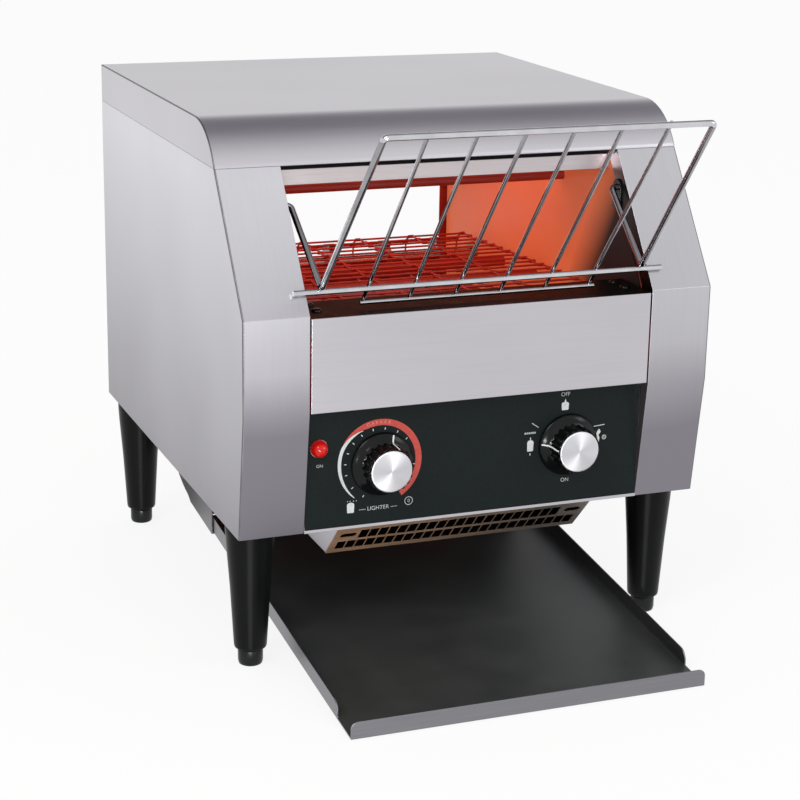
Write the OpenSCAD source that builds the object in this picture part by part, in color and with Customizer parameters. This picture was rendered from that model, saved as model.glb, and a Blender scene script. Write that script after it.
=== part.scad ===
// Counter-top conveyor toaster: a folded sheet-steel housing on four legs, with a wire belt
// that carries bread under heating elements and drops it on a chute and a tray below.
// Drawn with the front panel's face at y = 0 and the counter at z = 0, then centred in depth.

/* [Body] */
// Width over the side panels
body_w = 368; // [360:1:390]
// Depth from the front panel's face to the back panel's face
body_d = 410; // [405:1:430]
// Height of the body from its underside to its top
body_h = 291; // [288:1:305]
// Height of the underside over the counter
underside_z = 111; // [108:1:125]
// Thickness of the folded stainless sheet
sheet = 1.5; // [1.2:0.1:1.8]
// Set-back of the front edge at the underside
kick = 12; // [10:1:16]
// Height of the lower front bend over the underside
low_bend_h = 93; // [90:1:98]
// Height of the upper front bend over the underside
high_bend_h = 165.5; // [163:0.5:168]
// Depth of the hood's lower edge behind the front face
hood_set = 68; // [66:1:72]
// Height of the top cover's skirt
skirt_h = 30.5; // [28:0.5:34]
// Outside radius of the hood's rolled front
hood_r = 56; // [50:1:62]
// Width of each front post
post_w = 49.4; // [47:0.2:52]
// Depth of the flange on each post's inner edge
post_flange = 18; // [16:1:20]
// Gap beside the front panel
panel_gap = 1.1; // [0.8:0.1:1.6]
// Height of the louvred air slots in the back panel
vent_slot_h = 3; // [2:0.5:4]
// Number of air slots in each back panel row
vent_count = 9; // [5:1:11]

/* [Controls] */
// Thickness of the printed overlay
overlay_t = 0.8; // [0.5:0.1:1]
// Height of the knobs' centres over the underside
knob_h = 48; // [44:1:52]
// Distance of the knobs' centres from the middle
knob_x = 75; // [68:1:80]
// Radius of a knob's skirt
knob_skirt_r = 24; // [21:1:26]
// Radius of a knob's fluted body
knob_r = 17.5; // [15:0.5:19]
// Length of a knob
knob_l = 20; // [17:1:24]
// Number of flutes on a knob
knob_flutes = 20; // [12:1:24]
// Radius of the indicator lamp's dome
lamp_r = 6.5; // [5:0.5:8]
// Distance of the lamp from the post beside it
lamp_in = 11.1; // [11.1:0.1:16]
// Height of the lamp over the underside
lamp_h = 64; // [56:1:70]

/* [Oven] */
// Depth of the belt's front shaft behind the front face
idler_y = 75; // [73:1:80]
// Distance of the belt's rear shaft from the back panel's face
drive_set = 68; // [64:1:74]
// Height of the front shaft over the underside
idler_h = 133.5; // [131:0.5:136]
// Height of the rear shaft over the underside
drive_h = 121; // [119:1:124]
// Radius of the belt round its shafts, at the wires' centres
belt_r = 18.6; // [17:0.2:20]
// Width of the belt
belt_w = 254; // [240:1:260]
// Number of the belt's cross wires once round a shaft, which the drive wheels' teeth follow
belt_teeth = 7; // [6:1:9]
// Radius of a cross wire
belt_wire_r = 0.9; // [0.7:0.1:1.2]
// Radius of the two shafts
shaft_r = 5; // [4:0.5:6]
// Radius of a heating element's tube
element_r = 4; // [3:0.5:5]
// Number of heating elements over the belt
upper_count = 4; // [3:1:5]
// Number of heating elements between the belt's strands
lower_count = 3; // [2:1:4]
// Height of the upper elements over the underside
upper_h = 224; // [216:1:226]
// Half width of the rear opening
rear_open_x = 130; // [120:1:132]
// Height of the rear opening's top edge over the underside
rear_open_top = 172; // [168:1:176]
// Height of the rear opening
rear_open_h = 66; // [56:1:70]

/* [Under the body] */
// Half width of the air duct
duct_x = 103.2; // [96:0.2:110]
// Height of the air duct below the underside
duct_h = 33.5; // [30:0.5:36]
// Depth of the grille's top edge behind the front face
duct_y = 25.3; // [23:0.1:30]
// Length of the duct's underside
duct_l = 176; // [170:1:185]
// Number of holes in the grille's lower row
grille_holes = 25; // [18:1:27]
// Width of the bars between the grille's holes
grille_web = 1.6; // [1.2:0.1:2.4]
// Thickness of the grille's sheet
grille_t = 0.8; // [0.6:0.1:1.2]
// Distance of the tray's sides from the legs' centres
tray_in = 26.2; // [24:0.2:29]
// Overhang of the tray's lip in front of the front face
tray_front = 104; // [80:1:104]
// Distance of the tray's rear edge from the back panel's face
tray_set = 145; // [138:1:155]
// Slope of the tray in degrees
tray_slope = 5.7; // [5:0.05:6.5]
// Height of the tray's walls and lip
tray_wall = 13; // [10:1:16]
// Thickness of the tray's sheet
tray_t = 1.2; // [1:0.1:1.5]
// Radius of the chute's curved back
chute_r = 105; // [98:1:112]

/* [Legs] */
// Distance of the legs' centres from the body's sides
leg_in = 19; // [19:1:23]
// Depth of the front legs behind the front face
leg_front_y = 46; // [40:1:60]
// Distance of the rear legs from the back panel's face
leg_back_set = 35; // [25:1:50]
// Radius of a leg at its top
leg_top_r = 18.5; // [17:0.5:18.5]
// Radius of a leg at its lower end
leg_end_r = 12.25; // [11:0.25:14]
// Height of the levelling foot below the leg
foot_h = 13; // [8:1:16]
// Radius of the levelling foot
foot_r = 9.5; // [8:0.5:11]
// Radius of the foot's stem
stem_r = 5; // [4:0.5:6]

/* [Feed rack] */
// Radius of the rack's frame rod
rack_r = 2.3; // [2:0.1:2.8]
// Radius of the cross bar
bar_r = 2.1; // [1.8:0.1:2.6]
// Radius of the ramp wires
wire_r = 1.5; // [1.3:0.1:1.8]
// Distance of the rack's side rods from the posts
rack_in = 12.1; // [10:0.1:16]
// Length of the rack's cross bar that rests on each post
rack_bar_in = 10.1; // [6:0.1:25]
// Length of the rack from the cross bar to its top bar
rack_l = 165; // [150:1:180]
// Lean of the rack from the horizontal in degrees
rack_lean = 49.6; // [46:0.1:54]
// Height of the resting cross bar over the upper bend
rack_rest = 14; // [12:0.5:18]
// Number of ramp wires
rack_wires = 6; // [4:1:8]
// Spacing of the ramp wires
rack_pitch = 34.7; // [30:0.1:36]
// Height of the rack's pivot over the upper bend
pivot_h = 66.5; // [62:0.5:70]
// Depth of the pivot behind the slope of the posts
pivot_set = 16; // [15:0.5:18]

/* [Hidden] */
$fn = 48;
steel = "#c3c1c6";
bright = "#d6d6da";
black = "#1d1f20";
overlay_black = "#1f2624";
hot = "#d9481c";
brass = "#b08d4f";
white_wall = "#b9b6b4";

// Clearances: pieces that only lie beside each other, and shafts in their bores
gap = 0.3;
run = 0.05;

// Heights and half widths of the housing
half_w = body_w / 2;
top_z = underside_z + body_h;
low_z = underside_z + low_bend_h;
high_z = underside_z + high_bend_h;
seam_z = top_z - skirt_h;
slope_a = atan2(seam_z - high_z, hood_set);
hood_c_y = hood_set + sqrt(2 * hood_r * skirt_h - skirt_h * skirt_h);
post_in = half_w - post_w;
wall_x = post_in + sheet;
leg_x = half_w - leg_in;
tray_x = leg_x - tray_in;
lamp_x = post_in - lamp_in;
rack_x = post_in - rack_in;
rack_bar_x = post_in + rack_bar_in;
wall_out = wall_x + sheet;
inside_x = half_w - sheet;
floor_z = underside_z + sheet;
back_y = body_d - sheet;

// Front panel, ledge and controls
front_gap = 0.9;
front_low_z = low_z + front_gap;
ledge_z = high_z - 2 * front_gap;
ledge_d = 50;
ledge_lip = 9;
knob_z = underside_z + knob_h;
lamp_z = underside_z + lamp_h;
knob_bore_r = 3;
bush_r = 5;
skirt_t = 3;
cap_t = 1.2;
cap_r = knob_r - 1.5;

// Belt and shafts
drive_y = body_d - drive_set;
idler_z = underside_z + idler_h;
drive_z = underside_z + drive_h;
belt_l = norm([drive_y - idler_y, drive_z - idler_z]);
belt_a = atan2(drive_z - idler_z, drive_y - idler_y);
belt_loop = 2 * belt_l + 2 * PI * belt_r;
belt_wires = round(belt_loop / (2 * PI * belt_r / belt_teeth));
belt_band_t = 1.2;
belt_band_w = 2.4;
belt_bands = [-126, -76, -26, 26, 76, 126] * belt_w / 254;
wheel_x = [-101, -51, 0, 51, 101] * belt_w / 254;
wheel_w = 6;
wheel_tip_r = belt_r - belt_wire_r - gap;
bearing_r = shaft_r + 3;
bearing_flange = 2;
bearing_l = 4;

// Reflectors and elements
ceiling_z = underside_z + upper_h + 20;
reflector_z = low_z - sheet + 1;
guard_y = drive_y + 13;
baffle_y = hood_set + 15;
baffle_low = seam_z - 17.5;
upper_z = underside_z + upper_h;
upper_first_y = idler_y + 90;
upper_last_y = drive_y - 5;
upper_y = [for (i = [0 : upper_count - 1])
    upper_first_y + i * (upper_last_y - upper_first_y) / (upper_count - 1)];
lower_y = [for (i = [0 : lower_count - 1])
    idler_y + (i + 1) * (drive_y - idler_y) / (lower_count + 1)];
collar_r = element_r + 2.5;
collar_l = 9;

// Chain drive in the right-hand side space
chain_x = wall_out + 12;
chain_w = 4;
chain_pitch = 6.35;
wheel_teeth = 20;
motor_teeth = 10;
chain_r1 = chain_pitch / 2 / sin(180 / wheel_teeth);
chain_r2 = chain_pitch / 2 / sin(180 / motor_teeth);
roller_r = 1.65;
plate_t = 0.9;
motor_y = drive_y - 88;
motor_z = drive_z - 70;
motor_shaft_r = 4;
gearbox_w = 38;
gearbox_s = 46;
motor_r = 22;
motor_l = 46;

// Fan over the air duct
fan_s = 92;
fan_t = 25;
fan_r = 43;
fan_y = 150;
fan_hub_r = 17;
fan_pin_r = 2;
fan_blades = 7;
strut_t = 4;

// Air duct and grille
duct_z = underside_z - duct_h;
duct_lip = 4.4;
duct_run = duct_h - duct_lip;
duct_t = 1.2;
duct_front = duct_y + duct_run;
grille_l = duct_run * sqrt(2);

// Drop opening, tray and chute
tray_low = 0.5;
tray_walls_y = 29;
tray_back = body_d - tray_set;
knee_y = tray_back + 35;
knee_z = tray_low + (knee_y + tray_front) * tan(tray_slope) + tray_t + gap;
chute_end = acos(cos(tray_slope) - (underside_z - knee_z) / chute_r);
chute_c_y = knee_y - chute_r * sin(tray_slope);
chute_back = chute_c_y + chute_r * sin(chute_end);
chute_x = tray_x + gap;
drop_y0 = guard_y - 49;
drop_x = wall_x - 6.1;
runner_w = 10;
runner_y0 = tray_back - 30;

// Rack and its pivot
rest_y = rack_rest / tan(slope_a) - (bar_r + gap) * sin(slope_a);
rest_z = high_z + rack_rest + (bar_r + gap) * cos(slope_a);
weld = 0.4;
wires_g = -(bar_r + wire_r - weld);
frame_g = wires_g + rack_r + wire_r - weld;
bend_s = rack_r + bar_r - 2 * weld;
pivot_y = pivot_h / tan(slope_a) + pivot_set;
pivot_z = high_z + pivot_h;
lower_bar_s = -(rest_z - ledge_z - wire_r - 2 * gap - 1.6) / sin(rack_lean);
bracket_t = 5;
corner_r = 8;

// Legs, and the electrics on the floor at the left
leg_back_y = body_d - leg_back_set;
block_x = 12.1 - wall_x;
block_y = drive_y - 102;
block_pitch = 12.4;
relay_x = 16.1 - wall_x;
relay_y = fan_y - 80;
relay_w = 48;

// Rear opening, air slots and cord gland at the back
rear_open_low = underside_z + rear_open_top - rear_open_h;
vent_x = (wall_out + inside_x) / 2 - 6;
vent_w = 14;
gland_r = 10;
gland_bore_r = 5;
gland_proud = 4;
gland_x = 64 - half_w;
gland_z = underside_z + 34;

// The origin lies under the middle of the whole toaster's depth
rack_front = rack_l * cos(rack_lean) - rest_y + rack_r + frame_g * sin(rack_lean);
y_front = -max(tray_front, rack_front);
y_mid = (y_front + body_d + gland_proud) / 2;

module placed() translate([0, -y_mid, 0]) children();
module sided(s) if (s < 0) mirror([1, 0, 0]) children(); else children();
module along_x(x0, x1) translate([x0, 0, 0]) rotate([90, 0, 90]) linear_extrude(x1 - x0) children();
module box(x0, x1, y0, y1, z0, z1) translate([x0, y0, z0]) cube([x1 - x0, y1 - y0, z1 - z0]);
module disc_x(x0, x1, y, z, r) translate([x0, y, z]) rotate([0, 90, 0]) cylinder(r = r, h = x1 - x0);
module disc_y(x, y0, y1, z, r) translate([x, y0, z]) rotate([-90, 0, 0]) cylinder(r = r, h = y1 - y0);

// Outline of a loop round two wheels, with its straight runs tangent to both
module loop_2d(c1, r1, c2, r2) {
  way = c2 - c1;
  turn = atan2(way.y, way.x);
  lead = acos((r1 - r2) / norm(way));
  function rim(c, r, a) = c + r * [cos(a), sin(a)];
  translate(c1) circle(r = r1);
  translate(c2) circle(r = r2);
  polygon([rim(c1, r1, turn - lead), rim(c2, r2, turn - lead), rim(c2, r2, turn + lead),
    rim(c1, r1, turn + lead)]);
}

// Toothed wheel outline with trapezoid teeth
module toothed_2d(teeth, root, tip) {
  step = 360 / teeth;
  polygon([for (i = [0 : teeth - 1], c = [[-0.5, root], [-0.3, root], [-0.14, tip], [0.14, tip],
    [0.3, root]]) c[1] * [cos((i + c[0]) * step), sin((i + c[0]) * step)]]);
}

// ---- Housing ----

module post_skin_2d() {
  inner_bend = sheet * (1 - sin(slope_a)) / cos(slope_a);
  polygon([[kick, underside_z], [0, low_z], [0, high_z], [hood_set, seam_z - gap],
    [hood_set + sheet / sin(slope_a), seam_z - gap], [sheet, high_z - inner_bend],
    [sheet, low_z], [kick + sheet, underside_z]]);
}

module side_panel(s) color(steel) placed() sided(s) {
  along_x(inside_x, half_w) polygon([[kick, underside_z], [0, low_z], [0, high_z],
    [hood_set, seam_z - gap], [body_d, seam_z - gap], [body_d, underside_z]]);
  along_x(post_in, half_w) post_skin_2d();
  // Flange along the post's inner edge
  along_x(post_in, wall_x) polygon([[kick, underside_z], [0, low_z], [0, high_z],
    [hood_set, seam_z - gap], [hood_set + post_flange, seam_z - gap], [post_flange, high_z],
    [post_flange, underside_z]]);
  // Tongue that stands up inside the top cover's skirt
  box(inside_x - sheet, inside_x, hood_c_y, back_y - 4, seam_z - 10, seam_z + 14);
  // Flange that the back panel is screwed to
  box(inside_x - 14, inside_x, back_y - sheet, back_y, underside_z + 4, seam_z - 12);
}

// Section of the top cover, inset by a wall and open below
module hood_2d(inset) {
  translate([hood_c_y, seam_z - inset]) square([body_d - inset - hood_c_y, skirt_h]);
  intersection() {
    translate([hood_c_y, top_z - hood_r]) circle(r = hood_r - inset, $fn = 96);
    translate([hood_c_y - hood_r, seam_z - inset]) square([hood_r, skirt_h + inset]);
  }
}

module top_cover() color(steel) placed() difference() {
  along_x(-half_w, half_w) hood_2d(0);
  along_x(-inside_x, inside_x) hood_2d(sheet);
}

module front_panel() color(steel) placed() {
  face_x = post_in - panel_gap;
  box(-face_x, face_x, 0, sheet, front_low_z, ledge_z);
  box(-face_x, face_x, 0, kick + sheet, front_low_z, front_low_z + sheet);
}

module feed_ledge() color(black) placed() {
  low = ledge_z - sheet;
  along_x(-post_in, post_in) polygon([[sheet, low - 10], [sheet, ledge_z], [ledge_d, ledge_z],
    [ledge_d + 3, ledge_z - ledge_lip], [ledge_d + 1.5, ledge_z - ledge_lip],
    [ledge_d - 1.2, low], [2 * sheet, low], [2 * sheet, low - 10]]);
}

module ledge_screws() color(bright) placed()
  for (x = [-1, 1] * (post_in - 12), y = [22, 40]) translate([x, y, ledge_z]) {
    cylinder(r1 = 4, r2 = 2.6, h = 1.8);
  }

module control_panel() color(steel) placed() difference() {
  union() {
    box(-post_in, post_in, kick, kick + sheet, underside_z, front_low_z);
    box(-post_in, post_in, kick - 1, kick, underside_z, underside_z + 2.4);
  }
  for (x = [-knob_x, knob_x]) disc_y(x, kick - 1, kick + sheet + 1, knob_z, bush_r);
  disc_y(-lamp_x, kick - 1, kick + sheet + 1, lamp_z, lamp_r - 1);
}

module control_overlay() color(overlay_black) placed() difference() {
  box(gap - post_in, post_in - gap, kick - overlay_t, kick, underside_z + 2.4 + gap,
    front_low_z - gap);
  for (x = [-knob_x, knob_x]) disc_y(x, kick - 2, kick + 1, knob_z, bush_r + gap);
  disc_y(-lamp_x, kick - 2, kick + 1, lamp_z, lamp_r + gap);
}

module indicator_lamp() color("#d01818") placed() {
  disc_y(-lamp_x, kick - 2, kick, lamp_z, lamp_r);
  intersection() {
    translate([-lamp_x, kick - 2, lamp_z]) sphere(r = lamp_r - 0.5);
    disc_y(-lamp_x, kick - 2 - lamp_r, kick - 2, lamp_z, lamp_r);
  }
  disc_y(-lamp_x, kick, kick + 18, lamp_z, lamp_r - 1);
}

module knob(x) {
  face = kick - overlay_t - gap;
  difference() {
    union() {
      disc_y(x, face - skirt_t, face, knob_z, knob_skirt_r);
      translate([x, face - skirt_t, knob_z]) rotate([90, 0, 0])
        rotate_extrude() polygon([[0, 0], [knob_r + 2.5, 0], [knob_r, 3],
          [knob_r - 0.6, knob_l - skirt_t - 1], [cap_r, knob_l - skirt_t], [0, knob_l - skirt_t]]);
    }
    for (i = [0 : knob_flutes - 1]) rotate_about(x, i * 360 / knob_flutes)
      disc_y(x + knob_r + 1.2, face - knob_l - 1, face - skirt_t - 2, knob_z, 2);
    disc_y(x, face - 6, face + 1, knob_z, bush_r + 1);
    disc_y(x, face - knob_l - 1, face - knob_l + cap_t, knob_z, cap_r - 1);
  }
  // Spindle that reaches into the control behind the panel
  disc_y(x, face - 8, kick + sheet + 10, knob_z, knob_bore_r);
}

module rotate_about(x, a) translate([x, 0, knob_z]) rotate([0, a, 0]) translate([-x, 0, -knob_z])
  children();

module knob_cap(x) {
  face = kick - overlay_t - gap - knob_l;
  disc_y(x, face - 0.6, face + cap_t, knob_z, cap_r - 1);
}

module speed_knob() color(black) placed() knob(-knob_x);
module speed_knob_cap() color(bright) placed() knob_cap(-knob_x);
module selector_knob() color(black) placed() knob(knob_x);
module selector_knob_cap() color(bright) placed() knob_cap(knob_x);

// The bushing stands in the panel's hole and bears the spindle
module control_body(x, depth) difference() {
  union() {
    disc_y(x, kick - overlay_t, kick + sheet, knob_z, bush_r);
    children();
  }
  disc_y(x, kick - 2, kick + sheet + depth, knob_z, knob_bore_r + run);
}

module speed_control() color("#7a6a4a") placed() control_body(-knob_x, 11)
  disc_y(-knob_x, kick + sheet, kick + sheet + 16, knob_z, 14);

module selector_switch() color("#3a3a38") placed() control_body(knob_x, 11)
  box(knob_x - 17, knob_x + 17, kick + sheet, kick + sheet + 34, knob_z - 17, knob_z + 17);

module back_panel() color(steel) placed() difference() {
  box(-inside_x, inside_x, back_y, body_d, underside_z, seam_z - gap);
  box(-rear_open_x, rear_open_x, back_y - 1, body_d + 1, rear_open_low,
    underside_z + rear_open_top);
  // Air slots for the spaces beside the chamber
  for (s = [-1, 1], i = [0 : vent_count - 1]) sided(s)
    box(vent_x - vent_w / 2, vent_x + vent_w / 2, back_y - 1, body_d + 1, vent_z(i),
      vent_z(i) + vent_slot_h);
  disc_y(gland_x, back_y - 1, body_d + 1, gland_z, gland_r - 3);
}
function vent_z(i) = underside_z + 70 + 2.4 * i * vent_slot_h;

module back_screws() color(bright) placed()
  for (x = [-1, 1] * (inside_x - 8), z = [underside_z + 20, underside_z + 130, seam_z - 26])
    translate([x, body_d, z]) rotate([-90, 0, 0]) cylinder(r1 = 4, r2 = 2.8, h = 2);

module cord_gland() color(black) placed() difference() {
  union() {
    disc_y(gland_x, back_y, body_d, gland_z, gland_r - 3);
    disc_y(gland_x, body_d, body_d + gland_proud, gland_z, gland_r);
    disc_y(gland_x, back_y - 3, back_y, gland_z, gland_r);
  }
  disc_y(gland_x, back_y - 4, body_d + gland_proud + 1, gland_z, gland_bore_r);
}

module bottom_panel() color(steel) placed() difference() {
  box(-inside_x, inside_x, kick + sheet, back_y, underside_z, floor_z);
  // Corners cut away for the post flanges
  for (s = [-1, 1]) sided(s) box(post_in - gap, half_w, 0, post_flange + gap, underside_z - 1, floor_z + 1);
  box(-drop_x, drop_x, drop_y0, chute_back - gap, underside_z - 1, floor_z + 1);
  translate([0, fan_y, underside_z - 1]) cylinder(r = fan_r, h = sheet + 2);
}

// ---- Air duct and grille ----

module air_duct() color(steel) placed() {
  duct_back = duct_front + duct_l;
  for (s = [-1, 1]) sided(s) along_x(duct_x - duct_t, duct_x) polygon([[duct_y, underside_z],
    [duct_y, underside_z - duct_lip], [duct_front, duct_z], [duct_back, duct_z],
    [duct_back, underside_z]]);
  box(-duct_x, duct_x, duct_front, duct_back, duct_z, duct_z + duct_t);
  box(-duct_x, duct_x, duct_back - duct_t, duct_back, duct_z, underside_z);
  box(-duct_x, duct_x, duct_y, duct_y + duct_t, underside_z - duct_lip + duct_t, underside_z);
}

// The grille lies in front of the duct's sloping front edges
module intake_grille() color("#c9b7a4") placed()
  translate([0, duct_y, underside_z - duct_lip]) rotate([-45, 0, 0]) translate([0, 0, -grille_t])
  linear_extrude(grille_t) difference() {
    translate([-duct_x, 0]) square([2 * duct_x, grille_l]);
    low_step = (2 * duct_x - 10) / grille_holes;
    for (i = [0 : grille_holes - 1])
      translate([-duct_x + 5 + i * low_step + grille_web / 2, grille_l - 18])
        square([low_step - grille_web, 12.6]);
    for (i = [1 : grille_holes - 4])
      translate([-duct_x + 11.5 + i * low_step + grille_web / 2, grille_l - 35])
        square([low_step - grille_web, 13.6]);
    for (s = [-1, 1]) translate([s * (duct_x - 11), grille_l - 28.5]) {
      for (e = [-1, 1]) translate([3 * e, 0]) circle(r = 3);
      square([6, 6], center = true);
    }
  }

// ---- Oven chamber ----

module chamber_wall(s) color(white_wall) placed() sided(s) difference() {
  along_x(wall_x, wall_out) polygon([[post_flange - 4, floor_z], [post_flange - 4, high_z - 20],
    [hood_set + post_flange - 6, seam_z - 6], [back_y - 2 * sheet, seam_z - 6],
    [back_y - 2 * sheet, floor_z]]);
  for (p = [[idler_y, idler_z], [drive_y, drive_z]])
    disc_x(wall_x - 1, wall_out + 1, p[0], p[1], bearing_r);
  for (y = upper_y) disc_x(wall_x - 1, wall_out + 1, y, upper_z, element_r + gap);
  for (y = lower_y) disc_x(wall_x - 1, wall_out + 1, y, lower_z(y), element_r + gap);
  if (s > 0) disc_x(wall_x - 1, wall_out + 1, motor_y, motor_z, motor_shaft_r + 2);
}
function lower_z(y) = idler_z + (y - idler_y) * tan(belt_a) + 4;

module ceiling_reflector() color(white_wall) placed()
  along_x(-wall_x, wall_x) polygon([[baffle_y + sheet, ceiling_z], [back_y - 2 * sheet, ceiling_z],
    [back_y - 2 * sheet, ceiling_z + sheet], [baffle_y + sheet, ceiling_z + sheet]]);

// It spans the chamber's walls and reaches up between the posts' flanges, behind the cover's edge
module front_baffle() color(steel) placed() {
  box(-wall_x, wall_x, baffle_y, baffle_y + sheet, baffle_low, seam_z - 6);
  box(gap - post_in, post_in - gap, baffle_y, baffle_y + sheet, baffle_low, seam_z + 2);
}

module floor_reflector() color(white_wall) placed()
  box(-wall_x, wall_x, post_flange + gap, guard_y, reflector_z - sheet, reflector_z);

// Sheets before and behind the shaft that the toast drops through
module drop_guard() color(white_wall) placed() {
  along_x(-wall_x, wall_x) polygon([[guard_y, reflector_z], [guard_y + sheet, reflector_z],
    [guard_y + sheet, underside_z + 60], [drop_y0, floor_z], [drop_y0 - sheet, floor_z],
    [guard_y, underside_z + 60 + sheet]]);
  along_x(-wall_x, wall_x) polygon([[back_y - 2 * sheet, rear_open_low],
    [back_y - sheet, rear_open_low], [chute_back + sheet, floor_z], [chute_back, floor_z]]);
}

module elements(ys) for (p = ys) {
  disc_x(-wall_out - collar_l - 6, wall_out + collar_l + 6, p[0], p[1], element_r);
  for (s = [-1, 1]) sided(s) disc_x(wall_out, wall_out + collar_l, p[0], p[1], collar_r);
}

module upper_elements() color(hot) placed() elements([for (y = upper_y) [y, upper_z]]);
module lower_elements() color(hot) placed() elements([for (y = lower_y) [y, lower_z(y)]]);

// ---- Belt and its shafts ----

// A point of the belt's centre line, a distance d round the loop from over the front shaft
function belt_at(d) = let (way = [cos(belt_a), sin(belt_a)], up = [-way.y, way.x],
    half = PI * belt_r, f = [idler_y, idler_z], r = [drive_y, drive_z])
  d < belt_l ? f + belt_r * up + d * way
  : d < belt_l + half ? let (a = 90 - (d - belt_l) / belt_r * 180 / PI)
    r + belt_r * (cos(a) * way + sin(a) * up)
  : d < 2 * belt_l + half ? r - belt_r * up - (d - belt_l - half) * way
  : let (a = -90 - (d - 2 * belt_l - half) / belt_r * 180 / PI)
    f + belt_r * (cos(a) * way + sin(a) * up);

// A link band's outline: its two half rounds in short flats, as the links lie
module belt_loop_2d(r) polygon([for (end = [0, 1], i = [0 : 10])
  let (a = belt_a + 90 + 180 * end - i * 18, c = end == 0 ? [drive_y, drive_z] : [idler_y, idler_z])
  c + r * [cos(a), sin(a)]]);

module conveyor_belt() color("#6b6460") placed() {
  for (i = [0 : belt_wires - 1]) {
    p = belt_at(i * belt_loop / belt_wires);
    disc_x(-belt_w / 2, belt_w / 2, p[0], p[1], belt_wire_r);
  }
  for (x = belt_bands) along_x(x - belt_band_w / 2, x + belt_band_w / 2) difference() {
    belt_loop_2d(belt_r + belt_band_t / 2);
    belt_loop_2d(belt_r - belt_band_t / 2);
  }
}

module shaft(y, z, right_end) disc_x(-wall_out - bearing_l, right_end, y, z, shaft_r);

module drive_shaft() color(bright) placed() shaft(drive_y, drive_z, chain_x + chain_w + 6);
module idler_shaft() color(bright) placed() shaft(idler_y, idler_z, wall_out + bearing_l);

module drive_sprockets() color("#8d8f93") placed() for (x = wheel_x)
  along_x(x - wheel_w / 2, x + wheel_w / 2) translate([drive_y, drive_z]) difference() {
    toothed_2d(belt_teeth, wheel_tip_r - 4, wheel_tip_r);
    circle(r = shaft_r);
  }

module idler_pulleys() color("#8d8f93") placed() for (x = wheel_x)
  along_x(x - wheel_w / 2, x + wheel_w / 2) translate([idler_y, idler_z]) difference() {
    circle(r = wheel_tip_r);
    circle(r = shaft_r);
  }

module shaft_bearings() color(brass) placed()
  for (s = [-1, 1], p = [[idler_y, idler_z], [drive_y, drive_z]]) sided(s) difference() {
    union() {
      disc_x(wall_x, wall_out + bearing_l, p[0], p[1], bearing_r);
      disc_x(wall_x - bearing_flange, wall_x, p[0], p[1], bearing_r + 3);
    }
    disc_x(wall_x - bearing_flange - 1, wall_out + bearing_l + 1, p[0], p[1], shaft_r + run);
  }

// ---- Chain drive ----

module chain_wheel() color("#8d8f93") placed() {
  along_x(chain_x, chain_x + chain_w) translate([drive_y, drive_z]) difference() {
    toothed_2d(wheel_teeth, chain_r1 - roller_r - gap - 2.5, chain_r1 - roller_r - gap);
    circle(r = shaft_r);
  }
  along_x(chain_x + chain_w, chain_x + chain_w + 5) translate([drive_y, drive_z]) difference() {
    circle(r = shaft_r + 4);
    circle(r = shaft_r);
  }
}

module motor_sprocket() color("#8d8f93") placed() {
  along_x(chain_x, chain_x + chain_w) translate([motor_y, motor_z])
    toothed_2d(motor_teeth, chain_r2 - roller_r - gap - 2, chain_r2 - roller_r - gap);
  disc_x(wall_x - 12, chain_x, motor_y, motor_z, motor_shaft_r);
}

// Two rows of link plates with the rollers between them
module drive_chain() color("#55524e") placed() {
  c1 = [drive_y, drive_z];
  c2 = [motor_y, motor_z];
  for (x = [chain_x - plate_t - gap, chain_x + chain_w + gap]) along_x(x, x + plate_t) difference() {
    loop_2d(c1, chain_r1 + 2.4, c2, chain_r2 + 2.4);
    loop_2d(c1, chain_r1 - 2.4, c2, chain_r2 - 2.4);
  }
  for (p = chain_rollers()) disc_x(chain_x - gap, chain_x + chain_w + gap, p[0], p[1], roller_r);
}

// Roller centres, spaced along the loop's two arcs and two straight runs
function chain_rollers() = let (c1 = [drive_y, drive_z], c2 = [motor_y, motor_z], way = c2 - c1,
    turn = atan2(way.y, way.x), lead = acos((chain_r1 - chain_r2) / norm(way)),
    run_l = sqrt(way * way - pow(chain_r1 - chain_r2, 2)),
    arc1 = 360 - 2 * lead, arc2 = 2 * lead,
    n1 = floor(chain_r1 * arc1 * PI / 180 / chain_pitch),
    n2 = floor(chain_r2 * arc2 * PI / 180 / chain_pitch), n3 = floor(run_l / chain_pitch))
  concat(
    [for (i = [0 : n1]) let (a = turn + lead + i * arc1 / n1) c1 + chain_r1 * [cos(a), sin(a)]],
    [for (i = [0 : n2]) let (a = turn - lead + i * arc2 / n2) c2 + chain_r2 * [cos(a), sin(a)]],
    [for (s = [-1, 1], i = [1 : n3 - 1]) let (a = turn + s * lead, d = [cos(a), sin(a)])
      (c1 + chain_r1 * d) * (1 - i / n3) + (c2 + chain_r2 * d) * i / n3]);

module gearmotor() color("#4a4d50") placed() difference() {
  union() {
    box(wall_x - gearbox_w, wall_x, motor_y - gearbox_s / 2, motor_y + gearbox_s / 2,
      motor_z - gearbox_s / 2, motor_z + gearbox_s / 2);
    disc_x(wall_x - gearbox_w - motor_l, wall_x - gearbox_w, motor_y, motor_z, motor_r);
    disc_x(wall_x - gearbox_w - motor_l - 6, wall_x - gearbox_w - motor_l, motor_y, motor_z, 9);
  }
  disc_x(wall_x - 13, wall_x + 1, motor_y, motor_z, motor_shaft_r + run);
}

// ---- Fan and electrics ----

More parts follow.
